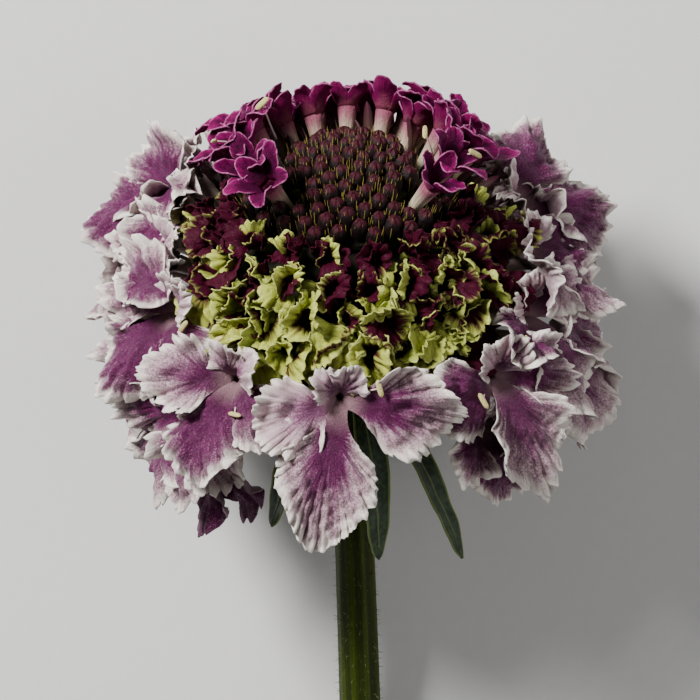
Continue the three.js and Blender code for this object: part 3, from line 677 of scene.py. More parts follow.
@dataclass(frozen=True)
class PetalFinish(Finish):
    """Thin velvety petals: a ground, a feathered dye that runs out along the veins, and a rim.

    shade darkens the ground towards the foot and deep the dye's heart. under and under_base colour the
    back, claw the foot, and tube_mouth and tube_root the tube; throat is painted shade deep in the tube's
    throat, and valley painted shade in the pleats' valleys. feather is how ragged the dye's edge is,
    streaks how many veins run in it, net how much of it is broken up, and webbing how much of a vein net
    goes past it.
    """

    ground: Colour = (0.62, 0.45, 0.47)
    shade: Colour = (0.25, 0.06, 0.17)
    dye: Colour = (0.114, 0.0008, 0.064)
    deep: Colour = (0.026, 0.0003, 0.013)
    rim: Colour = (0.96, 0.88, 0.79)
    under: Colour = (0.36, 0.25, 0.28)
    under_base: Colour = (0.48, 0.40, 0.34)
    tube_mouth: Colour = (0.60, 0.46, 0.42)
    tube_root: Colour = (0.38, 0.34, 0.15)
    # painted shade deep in the tube's throat
    throat: Colour = (0.16, 0.11, 0.02)
    vein: Colour = (0.09, 0.001, 0.054)
    claw: Colour = (0.30, 0.19, 0.19)
    # painted shade, multiplied into the pleats' valleys
    valley: Colour = (0.42, 0.32, 0.36)
    claw_to: float = 0.3
    rim_from: float = 0.89
    rim_feather: float = 0.3
    shade_share: float = 0.85
    net: float = 0.3
    net_scale: float = 5.0
    feather: float = 0.62
    streaks: float = 8.0
    veining: float = 0.55
    webbing: float = 0.65
    roughness: float = 0.5
    sheen: float = 0.12
    sheen_tint: Colour = (1.0, 0.9, 1.0)
    gloss: float = 0.25
    back_from: float = 0.35

    def write(self, sheet: NodeSheet) -> None:
        """Fills the node sheet."""
        _, along, margin = sheet.parts("spot")
        angle, radius, seed = sheet.parts("fan")
        strength, reach, under = sheet.parts("dye")
        # throat is the share of painted shade deep in the tube's throat.
        fold, tube, throat = sheet.parts("relief")
        place = sheet.millimetres()
        veins = sheet.noise(sheet.vector(angle * self.streaks, radius * 0.2, seed), 1.0, 3.0, 0.6)
        threads = sheet.noise(sheet.vector(angle * (3.2 * self.streaks), radius * 0.45, seed + 5.0), 1.0, 2.0)
        mottle = sheet.noise(place, self.net_scale, 2.0, 0.6)
        grain = sheet.noise(place, 9.0, 2.0, 0.6)
        feathered = (veins - 0.5) * self.feather + (threads - 0.5) * (0.5 * self.feather)
        edge = margin + feathered + fold * 0.05
        # The ground, and the dye with its dark heart.
        stain = along.rise(0.02, 0.22) * (1 - edge.rise(reach - 0.32, reach + 0.1)) * strength
        netted = (stain * (mottle.rise(0.38, 0.58) * self.net + (1 - self.net))).clamped()
        ground = sheet.blend((1 - edge.rise(0.35, 0.95)) * self.shade_share, self.ground, self.shade)
        colour = sheet.blend(netted, ground, self.dye)
        heart = stain * (1 - edge.rise(0.25, 0.7)) * threads.rise(0.3, 0.62)
        colour = sheet.blend(heart * (0.4 + 0.6 * mottle.rise(0.45, 0.62)), colour, self.deep)
        # Veins that carry the dye on past its edge.
        if self.veining:
            veined = along.rise(0.1, 0.35) * (1 - edge.rise(reach - 0.1, reach + 0.28))
            colour = sheet.blend(threads.rise(0.54, 0.64) * veined * self.veining, colour, self.vein)
        cells = sheet.noise(place, 2.7, 2.0, 0.5)
        web = 1 - (cells - 0.5).absolute().rise(0.01, 0.075)
        if self.webbing:
            spread = along.rise(0.1, 0.3) * (1 - edge.rise(reach - 0.05, reach + 0.4))
            colour = sheet.blend(web * spread * self.webbing, colour, self.vein)
        # The pale rim, the foot, and the lower face.
        rim = (margin + feathered * self.rim_feather).rise(self.rim_from, self.rim_from + 0.1)
        rim = rim * (1 - reach.rise(1.05, 1.2))
        colour = sheet.blend(rim, colour, self.rim)
        colour = sheet.blend((1 - along.rise(0.06, self.claw_to)) * 0.75, colour, self.claw)
        back = sheet.blend(edge.rise(self.back_from, self.back_from + 0.5), self.under_base, self.under)
        colour = sheet.blend(under * 0.8, colour, back)
        colour = sheet.blend(rim * under * 0.8, colour, self.rim)
        # The tube, with painted shade deep in its throat, then painted shade in the pleats' valleys.
        wall = sheet.blend(tube.rise(0.1, 0.62), self.tube_mouth, self.tube_root)
        wall = sheet.blend(threads.rise(0.4, 0.7) * 0.35, wall, self.shade)
        colour = sheet.blend((tube * 12.0).clamped(), colour, wall)
        # Painted shade deep in the throat.
        colour = sheet.blend(throat, colour, self.throat)
        # Painted shade: the pleats' valleys are darkened with the valley colour.
        valley_shade = (1 - fold.rise(-0.7, 0.35)) * 0.6
        colour = sheet.blend(valley_shade, colour, self.valley, "MULTIPLY")
        height = veins * 0.6 + threads * 0.8 + grain * 0.4 - web * 0.5
        roughness = grain * 0.16 + (self.roughness - 0.08)
        constants = {
            "Sheen Weight": self.sheen,
            "Sheen Roughness": 0.35,
            "Sheen Tint": (*self.sheen_tint, 1.0),
            "Specular IOR Level": self.gloss,
        }
        sheet.surface(colour, roughness, sheet.bump(height, 0.8, 0.17), constants)


@dataclass(frozen=True)
class BudFinish(Finish):
    """Closed buds: near-black velvet with a magenta crown, partly their own colour and partly a painted
    highlight of the lit velvet.
    """

    side: Colour = (0.007, 0.003, 0.003)
    # the magenta top: partly the bud's own colour, partly a painted highlight of the lit velvet
    crown: Colour = (0.066, 0.0016, 0.013)
    foot: Colour = (0.045, 0.055, 0.01)
    fleck: Colour = (0.10, 0.045, 0.03)

    def write(self, sheet: NodeSheet) -> None:
        """Fills the node sheet."""
        turn, height, seed = sheet.parts("spot")
        fold, _, _ = sheet.parts("relief")
        place = sheet.millimetres()
        fuzz = sheet.noise(sheet.vector(turn * 26.0, height * 2.2, seed), 1.0, 2.0)
        grain = sheet.noise(place, 8.0, 2.0)
        colour = sheet.blend(height.rise(-0.5, 0.15), self.foot, self.side)
        # The magenta crown on the top: partly the bud's own colour, partly a painted highlight where the
        # velvet catches the light.
        ring = (height + (fuzz - 0.5) * 0.2).rise(1.06, 1.24)
        colour = sheet.blend(ring * (0.3 + 0.6 * fuzz), colour, self.crown)
        colour = sheet.blend(fuzz.rise(0.58, 0.72) * 0.3, colour, self.fleck)
        bumps = fuzz * 0.9 + grain * 0.4 + fold * 0.4
        constants = {
            "Sheen Weight": 0.05,
            "Sheen Roughness": 0.3,
            "Sheen Tint": (0.62, 0.25, 0.28, 1.0),
            "Specular IOR Level": 0.18,
        }
        sheet.surface(colour, grain * 0.2 + 0.4, sheet.bump(bumps, 0.9, 0.2), constants)


@dataclass(frozen=True)
class CoreFinish(Finish):
    """The hairy ground between florets."""

    low: Colour = (0.012, 0.010, 0.004)
    high: Colour = (0.10, 0.19, 0.012)

    def write(self, sheet: NodeSheet) -> None:
        """Fills the node sheet."""
        _, _, bright = sheet.parts("spot")
        place = sheet.millimetres()
        fuzz = sheet.noise(place, 3.5, 4.0, 0.7)
        colour = sheet.blend(fuzz.rise(0.35, 0.7) * bright, self.low, self.high)
        sheet.surface(colour, 0.75, sheet.bump(fuzz, 0.8, 0.3), {"Specular IOR Level": 0.2})


@dataclass(frozen=True)
class HairFinish(Finish):
    """Fine bristles and hairs, coloured from root to tip."""

    root: Colour = (0.10, 0.13, 0.02)
    tip: Colour = (0.42, 0.24, 0.06)

    def write(self, sheet: NodeSheet) -> None:
        """Fills the node sheet."""
        _, along, seed = sheet.parts("spot")
        uneven = sheet.noise(sheet.vector(seed, along * 2.0, 0.0), 1.0, 1.0)
        colour = sheet.blend((along + (uneven - 0.5)).rise(0.1, 0.9), self.root, self.tip)
        grain = sheet.noise(sheet.millimetres(), 6.0, 1.0)
        sheet.surface(colour, grain * 0.2 + 0.4, sheet.bump(grain, 0.3, 0.05), {"Specular IOR Level": 0.4})


@dataclass(frozen=True)
class LeafFinish(Finish):
    """Dull green leaf with pale midrib, fine side veins and a light hairy margin."""

    blade: Colour = (0.010, 0.026, 0.007)
    pale: Colour = (0.052, 0.092, 0.034)
    vein: Colour = (0.15, 0.22, 0.06)
    margin: Colour = (0.17, 0.24, 0.03)

    def write(self, sheet: NodeSheet) -> None:
        """Fills the node sheet."""
        across, along, _ = sheet.parts("spot")
        _, radius, seed = sheet.parts("fan")
        _, _, under = sheet.parts("dye")
        place = sheet.millimetres()
        off = across.absolute()
        streaks = sheet.noise(sheet.vector(across * 9.0, radius * 0.16, seed), 1.0, 3.0, 0.6)
        side_veins = sheet.noise(sheet.vector(off * 1.6 - radius * 0.9, 0.0, seed), 1.0, 1.0)
        mottle = sheet.noise(place, 1.2, 4.0, 0.6)
        grain = sheet.noise(place, 7.0, 2.0)
        colour = sheet.blend(mottle.rise(0.42, 0.62) * 0.6, self.blade, self.pale)
        colour = sheet.blend(streaks.rise(0.55, 0.72) * 0.5, colour, self.pale)
        colour = sheet.blend(side_veins.rise(0.58, 0.66) * (1 - off) * 0.5, colour, self.vein)
        rib = (1 - off.rise(0.03, 0.13)) * (1 - along.rise(0.8, 1.0) * 0.6)
        colour = sheet.blend(rib * 0.75, colour, self.vein)
        colour = sheet.blend((off + (grain - 0.5) * 0.1).rise(0.84, 0.95), colour, self.margin)
        colour = sheet.blend(under * 0.4, colour, self.pale)
        height = streaks * 0.7 + grain * 0.4 + mottle * 0.3 + rib
        constants = {"Sheen Weight": 0.12, "Specular IOR Level": 0.4}
        sheet.surface(colour, grain * 0.2 + 0.42, sheet.bump(height, 0.5, 0.14), constants)


@dataclass(frozen=True)
class StemFinish(Finish):
    """Ribbed olive-green stem."""

    valley: Colour = (0.016, 0.024, 0.0008)
    ridge: Colour = (0.056, 0.078, 0.003)
    fleck: Colour = (0.14, 0.18, 0.03)
    neck: Colour = (0.03, 0.04, 0.004)
    pith: Colour = (0.42, 0.47, 0.24)
    neck_length: float = 24.0

    def write(self, sheet: NodeSheet) -> None:
        """Fills the node sheet."""
        turn, along, cut = sheet.parts("spot")
        ridge, _, _ = sheet.parts("relief")
        place = sheet.millimetres()
        lines = sheet.noise(sheet.vector(turn * 46.0, along * 0.05, 0.0), 1.0, 3.0, 0.6)
        flecks = sheet.noise(sheet.vector(turn * 60.0, along * 0.9, 3.0), 1.0, 2.0)
        blotch = sheet.noise(place, 0.28, 3.0)
        grain = sheet.noise(place, 6.0, 2.0)
        green = (ridge * 0.35 + lines.rise(0.3, 0.7) * 0.55 + (blotch - 0.5) * 0.5).clamped()
        colour = sheet.blend(green, self.valley, self.ridge)
        colour = sheet.blend(flecks.rise(0.6, 0.72) * 0.3, colour, self.fleck)
        colour = sheet.blend((1 - along.rise(0.0, self.neck_length)) * 0.35, colour, self.neck)
        colour = sheet.blend(cut, colour, self.pith)
        height = lines * 0.9 + flecks * 0.3 + grain * 0.3
        constants = {"Sheen Weight": 0.01, "Specular IOR Level": 0.16}
        sheet.surface(colour, grain * 0.22 + 0.45, sheet.bump(height, 0.5, 0.15), constants)


@dataclass(frozen=True)
class GrainFinish(Finish):
    """A small granular thing of one colour and its shade, such as an anther."""

    light: Colour = (0.72, 0.66, 0.28)
    dark: Colour = (0.46, 0.34, 0.09)

    def write(self, sheet: NodeSheet) -> None:
        """Fills the node sheet."""
        place = sheet.millimetres()
        grain = sheet.noise(place, 7.0, 3.0, 0.6)
        colour = sheet.blend(grain.rise(0.35, 0.65), self.dark, self.light)
        sheet.surface(colour, grain * 0.2 + 0.5, sheet.bump(grain, 0.7, 0.1), {"Sheen Weight": 0.2})


class Paint(Enum):
    """The flower's finishes."""

    RAY = PetalFinish("ray_petal")
    YOUNG = PetalFinish(
        "young_petal",
        ground=(0.52, 0.57, 0.10),
        shade=(0.24, 0.27, 0.02),
        dye=(0.052, 0.0002, 0.013),
        deep=(0.014, 0.0002, 0.003),
        rim=(0.62, 0.66, 0.20),
        under=(0.34, 0.41, 0.06),
        under_base=(0.16, 0.21, 0.03),
        tube_mouth=(0.12, 0.15, 0.03),
        tube_root=(0.05, 0.06, 0.01),
        throat=(0.03, 0.004, 0.005),
        claw=(0.06, 0.04, 0.01),
        claw_to=0.2,
        sheen=0.05,
        sheen_tint=(0.6, 0.2, 0.2),
        veining=0.0,
        webbing=0.0,
        gloss=0.12,
        rim_from=0.93,
        net=0.0,
        net_scale=3.5,
        feather=0.7,
        streaks=5.0,
        roughness=0.45,
    )
    CROWN = PetalFinish(
        "crown_petal",
        ground=(0.245, 0.001, 0.096),
        shade=(0.072, 0.0004, 0.025),
        dye=(0.030, 0.0002, 0.010),
        deep=(0.008, 0.0003, 0.003),
        rim=(0.72, 0.26, 0.50),
        under=(0.17, 0.002, 0.062),
        under_base=(0.30, 0.07, 0.11),
        claw=(0.10, 0.002, 0.03),
        claw_to=0.15,
        back_from=0.1,
        tube_mouth=(0.34, 0.10, 0.15),
        tube_root=(0.66, 0.58, 0.40),
        throat=(0.03, 0.001, 0.008),
        rim_from=0.945,
        rim_feather=0.12,
        net=0.5,
        feather=0.7,
        streaks=7.0,
        roughness=0.55,
        gloss=0.08,
        sheen=0.12,
        sheen_tint=(0.75, 0.03, 0.42),
    )
    BUD = BudFinish("bud_velvet")
    CORE = CoreFinish("floret_ground")
    BRISTLE = HairFinish("golden_bristle", root=(0.10, 0.16, 0.01), tip=(0.42, 0.30, 0.06))
    STEM_HAIR = HairFinish("stem_hair", root=(0.10, 0.14, 0.03), tip=(0.35, 0.38, 0.18))
    FILAMENT = HairFinish("stamen_filament", root=(0.60, 0.45, 0.50), tip=(0.70, 0.55, 0.45))
    ANTHER = GrainFinish("anther")
    CHAFF = HairFinish("chaff", root=(0.03, 0.04, 0.008), tip=(0.03, 0.006, 0.010))
    CROWN_CHAFF = HairFinish("crown_chaff", root=(0.06, 0.05, 0.02), tip=(0.05, 0.002, 0.016))
    LEAF = LeafFinish("bract_leaf")
    STEM = StemFinish("stem_skin")


# ---- shapes that the parts share ----
@dataclass(frozen=True)
class Tube:
    """A floret's tube from its root to its mouth.

    LIP, WALL and FLOOR are the rings of the throat: each one's width as a share of the mouth, its height, as
    a share of the throat's depth where it's negative, and how much of the throat's painted shade it takes,
    darker deeper in. PALEST is how much of the root's colour is left at the mouth.
    """

    root: Array
    root_radius: float
    mouth: float
    throat_depth: float = 2.4
    flare: float = 2.2
    sides: int = 16
    steps: int = 8

    LIP = (0.8, 0.05, 0.5)
    WALL = (0.6, -0.25, 0.9)
    FLOOR = (0.35, -1.0, 1.0)
    PALEST = 0.08


def add_floret(skin: Skin, head: Head, perch: Perch, lobes: Sequence[Lobe], tube: Tube, half: float) -> None:
    """Adds one floret to a skin: its tube and its lobes.

    Args:
        skin: the surface that grows.
        head: the head, whose table presses the lobes.
        perch: where the floret opens.
        lobes: its lobes.
        tube: its tube.
        half: half the thickness of its lobes.
    """
    for lobe in lobes:
        middle, values = lobe.surface(perch)
        middle = head.press(middle, half)
        thinned = half * (1 - 0.35 * values["spot"][..., 2])
        skin.sheet(middle, thinned, values, under=lobe.back)
    add_tube(skin, perch, tube, lobes[0].seed)


def add_tube(skin: Skin, perch: Perch, tube: Tube, seed: float) -> None:
    """Adds a floret's tube, with the throat sunk into its mouth.

    Args:
        skin: the surface that grows.
        perch: where the floret opens.
        tube: the tube's sizes.
        seed: what the finish's veins start from.
    """
    turns = angles(tube.sides)
    ring = circle(perch.out, perch.side, turns)
    ribs = 1 + 0.05 * np.cos(8 * turns + seed)
    rings, shares = [], []
    for n in range(tube.steps + 1):
        share = n / tube.steps
        radius = mix(tube.root_radius, tube.mouth, share**tube.flare)
        rings.append(mix(tube.root, perch.at, share) + ring * (radius * ribs)[:, None])
        shares.append((mix(1, tube.PALEST, share), 0.0))
    # The throat's rings carry painted shade, stronger deeper in.
    for width, height, dark in (tube.LIP, tube.WALL, tube.FLOOR):
        lift = height * tube.throat_depth if height < 0 else height
        rings.append(perch.at + perch.face * lift + ring * (tube.mouth * width))
        shares.append((0.0, dark))
    tube_share, throat_shade = np.array(shares).T[..., None]
    rows = np.linspace(0, 1, len(rings))[:, None] * np.ones(tube.sides)
    values = {
        "fan": triple(turns * 0.35, rows * 6, seed),
        "relief": triple(0 * rows + 0.6, tube_share, throat_shade),
    }
    skin.tube(np.stack(rings), values)


def core_skin(head: Head, zones: Sequence[Zone], outer: float, bright: float) -> Skin:
    """A rough shell of the dome over some zones.

    Args:
        head: the head that it covers.
        zones: ranges of polar angle, and of reach from the near middle to either side.
        outer: its outer radius.
        bright: how much of the lighter colour shows at its middle.

    Returns:
        The closed shell.
    """
    inner, step = 10.8, 3.0
    polar_edges = sorted({edge for polar, _ in zones for edge in polar})
    side_edges = {s * edge for _, reach in zones for edge in reach for s in (-1, 1) if edge % 180}

    def lines(edges: Iterable[float], low: float, high: float) -> Array:
        """Zone edges with regular lines between them."""
        regular = [low + step * n for n in range(int((high - low) / step) + 1)]
        kept = [line for line in regular if all(abs(line - edge) > 0.4 * step for edge in edges)]
        return np.array(sorted({*edges, *kept}))

    polars = lines(polar_edges, polar_edges[0], polar_edges[-1])
    azimuths = lines(side_edges, -180.0, 180.0 - step)
    rows, columns = len(polars), len(azimuths)
    p, a = np.meshgrid(polars, azimuths, indexing="ij")
    bumps = 0.12 * np.sin(p * 1.9 + 3 * np.sin(a * 0.31)) * np.sin(a * 1.7 + np.cos(p))
    values = {"spot": triple(0, 0, bright * (1 - rise(6, 30, p)))}
    skin = Skin()
    top = skin.add(head.on_dome(outer + bumps - 0.12, p, a), values)
    under = skin.add(head.on_dome(inner + 0 * p, p, a), values)
    middle_polar = 0.5 * (polars[:-1] + polars[1:])
    after = np.append(azimuths[1:], azimuths[0] + 360)
    middle_side = np.abs((0.5 * (azimuths + after) + 180) % 360 - 180)
    inside = np.zeros((rows - 1, columns), bool)
    for (low, high), (near, far) in zones:
        in_polar = (middle_polar > low) & (middle_polar < high)
        inside |= in_polar[:, None] & ((middle_side > near) & (middle_side < far))[None]
    right = (np.arange(columns) + 1) % columns
    walls, faces = [], []
    for i, j in np.argwhere(inside):
        k = right[j]
        faces.append((top[i, j], top[i + 1, j], top[i + 1, k], top[i, k]))
        faces.append((under[i, k], under[i + 1, k], under[i + 1, j], under[i, j]))
        sides = (
            ((i - 1, j), (i, j), (i, k)),
            ((i + 1, j), (i + 1, k), (i + 1, j)),
            ((i, j - 1), (i + 1, j), (i, j)),
            ((i, k), (i, k), (i + 1, k)),
        )
        for (ni, nj), first, second in sides:
            if not (0 <= ni < rows - 1 and inside[ni, nj % columns]):
                walls.append((top[first], top[second], under[second], under[first]))
    skin.quads.append(np.array(faces + walls))
    return skin


def add_scale(skin: Skin, head: Head, core: float, place: tuple[float, float], length: float, n: int) -> None:
    """Adds one of the narrow scales that stand between the florets' tubes.

    Args:
        skin: the surface that grows.
        head: the head that carries it.
        core: the radius of the ground that it grows from.
        place: its polar angle and azimuth.
        length: its length, before its own share of variation.
        n: its number, which its lean is drawn from.
    """
    polar, azimuth = place
    look = (polar + 7 * sway(n, 62), azimuth + 7 * sway(n, 63))
    perch = Perch.on(head, (core - 0.5, polar, azimuth), look, 180 * sway(n, 64))
    long = length * (1 + 0.25 * sway(n, 65))
    knots = ((0, 88), (long, 70 + 14 * sway(n, 66)))
    lobe = Lobe(0, long, 0.75, knots, claw=0.5, start=0, cup=0.4, shape=Outline.LEAF, grid=(3, 7), seed=n)
    points, values = lobe.surface(perch)
    skin.sheet(points, 0.08, values)


def add_spike(skin: Skin, foot: Array, reach: Array, radius: float, seed: int) -> None:
    """Adds a tapered three-sided hair.

    Args:
        skin: the surface that grows.
        foot: its root.
        reach: from the root to the tip.
        radius: its radius at the root.
        seed: what its colour and bending are drawn from.
    """
    sides, bow, seeds = 3, 0.06, 97
    up = unit(reach)
    first = unit(np.cross(up, np.array([0.3, 0.5, 0.81]) + 0.1 * up))
    shares = np.array([0, 0.4, 0.8, 1.0])[:, None]
    widths = radius * np.array([1, 0.85, 0.5, 0.15])
    bent = first * bow * np.linalg.norm(reach) * sway(seed, 7)
    middles = foot + shares * reach + shares**2 * bent
    points = middles[:, None] + widths[:, None, None] * circle(first, np.cross(up, first), angles(sides))
    skin.tube(points, {"spot": triple(np.zeros(sides), shares, seed % seeds)})


def lathe(head: Head, profile: Sequence[tuple[float, float]], turns: Array) -> Array:
    """Rings of points about the dome's axis.

    Args:
        head: the head whose axis it is turned about.
        profile: pairs of radius and height.
        turns: the angles of each ring's points, in radians.

    Returns:
        Points of shape (rings, points, 3).
    """
    radii, heights = np.array(profile).T[..., None, None]
    return head.middle + radii * circle(head.near, head.side, turns) + heights * head.axis


# ---- parts of the flower ----
@dataclass
class Assembly:
    """A sub-assembly of the flower that adds pieces to the scene.

    head is what it grows on, and shift where the flower's own origin lies in the row frame, in millimetres.
    In the parts with florets or buds, core is the radius of the ground that they grow from, sink how deep
    their roots stand in it, half the half thickness of their lobes, seed the first of their draws' seeds, and
    zones the ground's ranges of polar angle and of reach from the near middle.
    """

    head: Head
    shift: Array

    def place(self, name: str, skin: Skin, paint: Paint, node: str) -> None:
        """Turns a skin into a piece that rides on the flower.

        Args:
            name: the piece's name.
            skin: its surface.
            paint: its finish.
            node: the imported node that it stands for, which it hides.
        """
        made = skin.piece(name, material_of(paint.value), self.shift)
        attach(made, BODY)
        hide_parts(node)
        LOG.info("%s: %d faces", name, len(made.data.polygons))

    def build(self) -> None:
        """Adds the pieces."""
        raise NotImplementedError


@dataclass
class RayFlorets(Assembly):
    """The large ruffled florets round the head.

    Each place is the throat's polar angle, azimuth and radius, the polar angle and azimuth that it faces,
    its roll, its size and the seed of its shape. The extras stand between the solids' own florets. edges
    says from which polar angle the florets' ground runs, up to which reach from the near middle. front
    holds the direction, length and half width of the front floret's large lobes, and front_dye how strong
    their dye is and how far it runs. droop and seat say how much lower than its throat, and than the
    ground's edge, a floret's root stands at least. Florets within front_reach of the near middle have finer
    meshes and pleats, except the extras.
    """

    core: float = 14.0
    sink: float = 1.0
    droop: float = 6.0
    seat: float = 7.0
    half: float = 0.11
    front_reach: float = 111.0
    chaff_count: int = 150
    chaff_length: float = 6.2
    far_chaff_count: int = 70
    far_chaff_length: float = 10.5
    dark_share: float = 0.16
    edges: tuple[tuple[float, float], ...] = ((84, 50), (74, 72), (64, 181))
    zones: tuple[Zone, ...] = (
        ((84.85, 118), (0, 180)),
        ((74.85, 84.85), (51.3, 180)),
        ((64.85, 74.85), (73.3, 180)),
    )
    places: tuple[tuple[float, ...], ...] = (
        (89, -3, 24.5, 62, -3, 0, 1, 0),
        (91, 44, 24.5, 64, 38, 0, 1, 13),
        (89, -34, 24.5, 62, -30, -8, 1, 7),
        (100, -83, 24.5, 74, -72, 0, 0.95, 1),
        (80, -64, 23, 56, -56, -12, 0.95, 19),
        (74, -86, 22.5, 48, -80, 0, 0.95, 44),
        (66, -108, 23.5, 48, -56, -50, 1, 36),
        (97, 78, 24.5, 72, 68, 0, 1, 8),
        (82, 66, 23, 56, 58, 10, 0.95, 6),
        (74, 87, 22.5, 48, 80, 0, 0.95, 30),
        (66, 110, 23.5, 48, 56, 50, 1, 15),
        (107, 42, 24.5, 84, 44, 8, 0.8, 7),
        (105, -50, 24.5, 84, -50, -8, 0.9, 29),
        (86, 112, 24.5, 60, 110, 0, 0.95, 8),
        (86, -118, 24.5, 60, -116, 0, 0.95, 13),
        (73, 131, 24.5, 54, 110, 0, 0.9, 7),
        (73, -135, 24.5, 54, -114, 0, 0.9, 36),
        (88, 142, 24.5, 62, 142, 0, 0.9, 13),
        (88, -150, 24.5, 62, -150, 0, 0.9, 19),
        (73, 157, 24.5, 50, 157, 0, 0.9, 30),
        (73, -166, 24.5, 50, -166, 0, 0.9, 32),
        (88, 177, 24.5, 62, 177, 0, 0.9, 7),
    )
    extras: tuple[tuple[float, ...], ...] = (
        (62, -118, 24.5, 44, -92, 0, 0.85, 3),
        (84, -100, 25.0, 62, -98, 0, 0.85, 22),
        (112, -66, 24.5, 88, -66, 0, 0.95, 17),
        (74, 118, 24.5, 52, 112, 0, 0.85, 5),
        (94, 92, 25.0, 72, 92, 0, 0.9, 11),
        (112, 66, 24.5, 90, 68, 0, 0.9, 27),
        (120, -48, 24.5, 98, -48, 0, 0.85, 4),
    )
    front: tuple[tuple[float, float, float], ...] = ((-64, 11.6, 5), (-7, 19, 6), (80, 15.5, 5.4))
    front_dye: tuple[tuple[float, float], ...] = ((0.65, 0.5), (1.15, 0.8), (1.2, 0.78))

    def lobes(self, n: int, i: int, size: float, fine: bool) -> list[Lobe]:
        """The five lobes of a ray floret.

        Args:
            n: the floret's number in the row, which its markings are drawn from.
            i: the seed of its shape, 0 for the front floret.
            size: its size, as a share.
            fine: True for florets that are seen from above.

        Returns:
            Three large lobes outwards and two small ones inwards.
        """
        large = [self._large_lobe(n, i, size, fine, place) for place in (-1, 0, 1)]
        small = [self._small_lobe(n, i, size, fine, place) for place in (-1, 1)]
        return large + small

    def _large_lobe(self, n: int, i: int, size: float, fine: bool, place: int) -> Lobe:
        """One of the three outward lobes, at place -1, 0 or 1; its shape draws on i and its marks on mark."""
        mark, k = 100 + 7 * n, 10 * (place + 2)
        if i:
            pitch, grid = (1.75, (61, 29)) if fine else (2.4, (37, 19))
            scallop, tooth = 0.45, 0.04
            turn = 72 * place + 9 * sway(i, k + 1)
            length = (12.4 if place else 15) * size * (1 + 0.1 * sway(i, k))
            half = length * (0.42 if place else 0.38) * (1 + 0.1 * sway(i, k + 2))
        else:
            pitch, grid = 1.45, (89, 37)
            scallop, tooth = 0.42, 0.1
            turn, length, half = self.front[place + 1]
        pitch = pitch * (1 + 0.15 * sway(mark, k))
        return Lobe(
            turn,
            length,
            half,
            ((0, 52), (4.5, 16 + 10 * sway(i, k + 3)), (length, -16 + 24 * sway(i, k + 4))),
            claw=1.3,
            cup=0.12 * sway(i, k + 5),
            twist=20 * sway(i, k + 6),
            curl=1.3 * sway(mark, k + 3),
            ruffle=1.35 + 0.3 * sway(i, k + 7),
            phase=ANY_PHASE * draw(i, k + 8),
            start=0.45,
            grid=grid,
            frill=Frill(0.55, pitch, scallop, tooth, crumple=0.5, crumple_size=2.2, inward=3.6),
            seed=10 * draw(mark, k + 1),
            dye=self._dye(n, mark, k),
        )

    @staticmethod
    def _small_lobe(n: int, i: int, size: float, fine: bool, place: int) -> Lobe:
        """One of the two inward lobes, at place -1 or 1; its shape draws on i and its marks on mark."""
        mark, k = 100 + 7 * n, 50 + 10 * place
        length = (6.2 if i else 5.2) * size * (1 + 0.15 * sway(i, k))
        return Lobe(
            143 * place + 10 * sway(i, k + 1),
            length,
            length * 0.42,
            ((0, 68), (2, 60), (length, 2 + 34 * sway(i, k + 2))),
            claw=0.8,
            cup=0.3 * sway(mark, k + 4),
            twist=34 * sway(mark, k + 5),
            curl=0.7 * sway(mark, k + 6),
            ruffle=0.8,
            waves=4.4,
            phase=ANY_PHASE * draw(mark, k + 2),
            start=0.45,
            grid=((29, 13) if fine else (21, 11)) if i else (41, 19),
            frill=Frill(0.5, 1.35, 0.3, tooth=0.3, crumple=0.4, crumple_size=1.9, inward=1.2),
            seed=10 * draw(mark, k + 1),
            dye=(0.6 * draw(mark, k) if i else 0.1, 0.5),
        )

    def _dye(self, n: int, mark: int, k: int) -> tuple[float, float]:
        """How strong a large lobe's dye is and how far it runs.

        Args:
            n: the floret's number in the row; 0 is the front one, and the last one is dark all over.
            mark: the seed of its marks.
            k: the first feature of the lobe's draws, 10, 20 or 30.

        Returns:
            The strength, and the share of the lobe.
        """
        if n == 0:
            return self.front_dye[k // 10 - 1]
        if n == len(self.places + self.extras) - 1:
            return 1.15, 1.25
        if draw(mark, k + 9) < self.dark_share:
            return 1.15, 1.04
        return 0.85 + 0.3 * draw(mark, 3) + 0.15 * sway(mark, k), 0.72 + 0.34 * draw(mark, k + 5)

    def _edge(self, azimuth: float) -> float:
        """The polar angle that the florets' ground starts from at an azimuth."""
        return next(limit for limit, reach in self.edges if abs(azimuth) < reach)

    def build(self) -> None:
        """Adds one piece for each floret, and the ground under them."""
        for n, (polar, azimuth, throat, *face, roll, size, i) in enumerate(self.places + self.extras):
            perch = Perch.on(self.head, (throat, polar, azimuth), face, roll)
            root_polar = max(polar + self.droop, self._edge(azimuth) + self.seat)
            root = self.head.on_dome(self.core - self.sink, root_polar, azimuth)
            tube = Tube(root, 0.8, 1.15, flare=2.6)
            fine = abs(azimuth) < self.front_reach and n < len(self.places)
            skin = Skin()
            add_floret(skin, self.head, perch, self.lobes(n, i, size, fine), tube, self.half)
            self.place(f"ray_floret_{n + 1:02d}", skin, Paint.RAY, "ray_florets")
        self.place("ray_ground", core_skin(self.head, self.zones, self.core, 0.3), Paint.CORE, "ray_florets")
        chaff = Skin()
        for n in range(self.chaff_count + self.far_chaff_count):
            if n < self.chaff_count:
                azimuth = (n * GOLDEN_ANGLE) % 360 - 180
                low, high, length = self._edge(azimuth) + 3, 112, self.chaff_length
            else:
                azimuth = 180 + 62 * sway(n, 60)
                low, high, length = 65, 74, self.far_chaff_length
            add_scale(chaff, self.head, self.core, (mix(low, high, draw(n, 61)), azimuth), length, n)
        self.place("ray_chaff", chaff, Paint.CHAFF, "ray_florets")


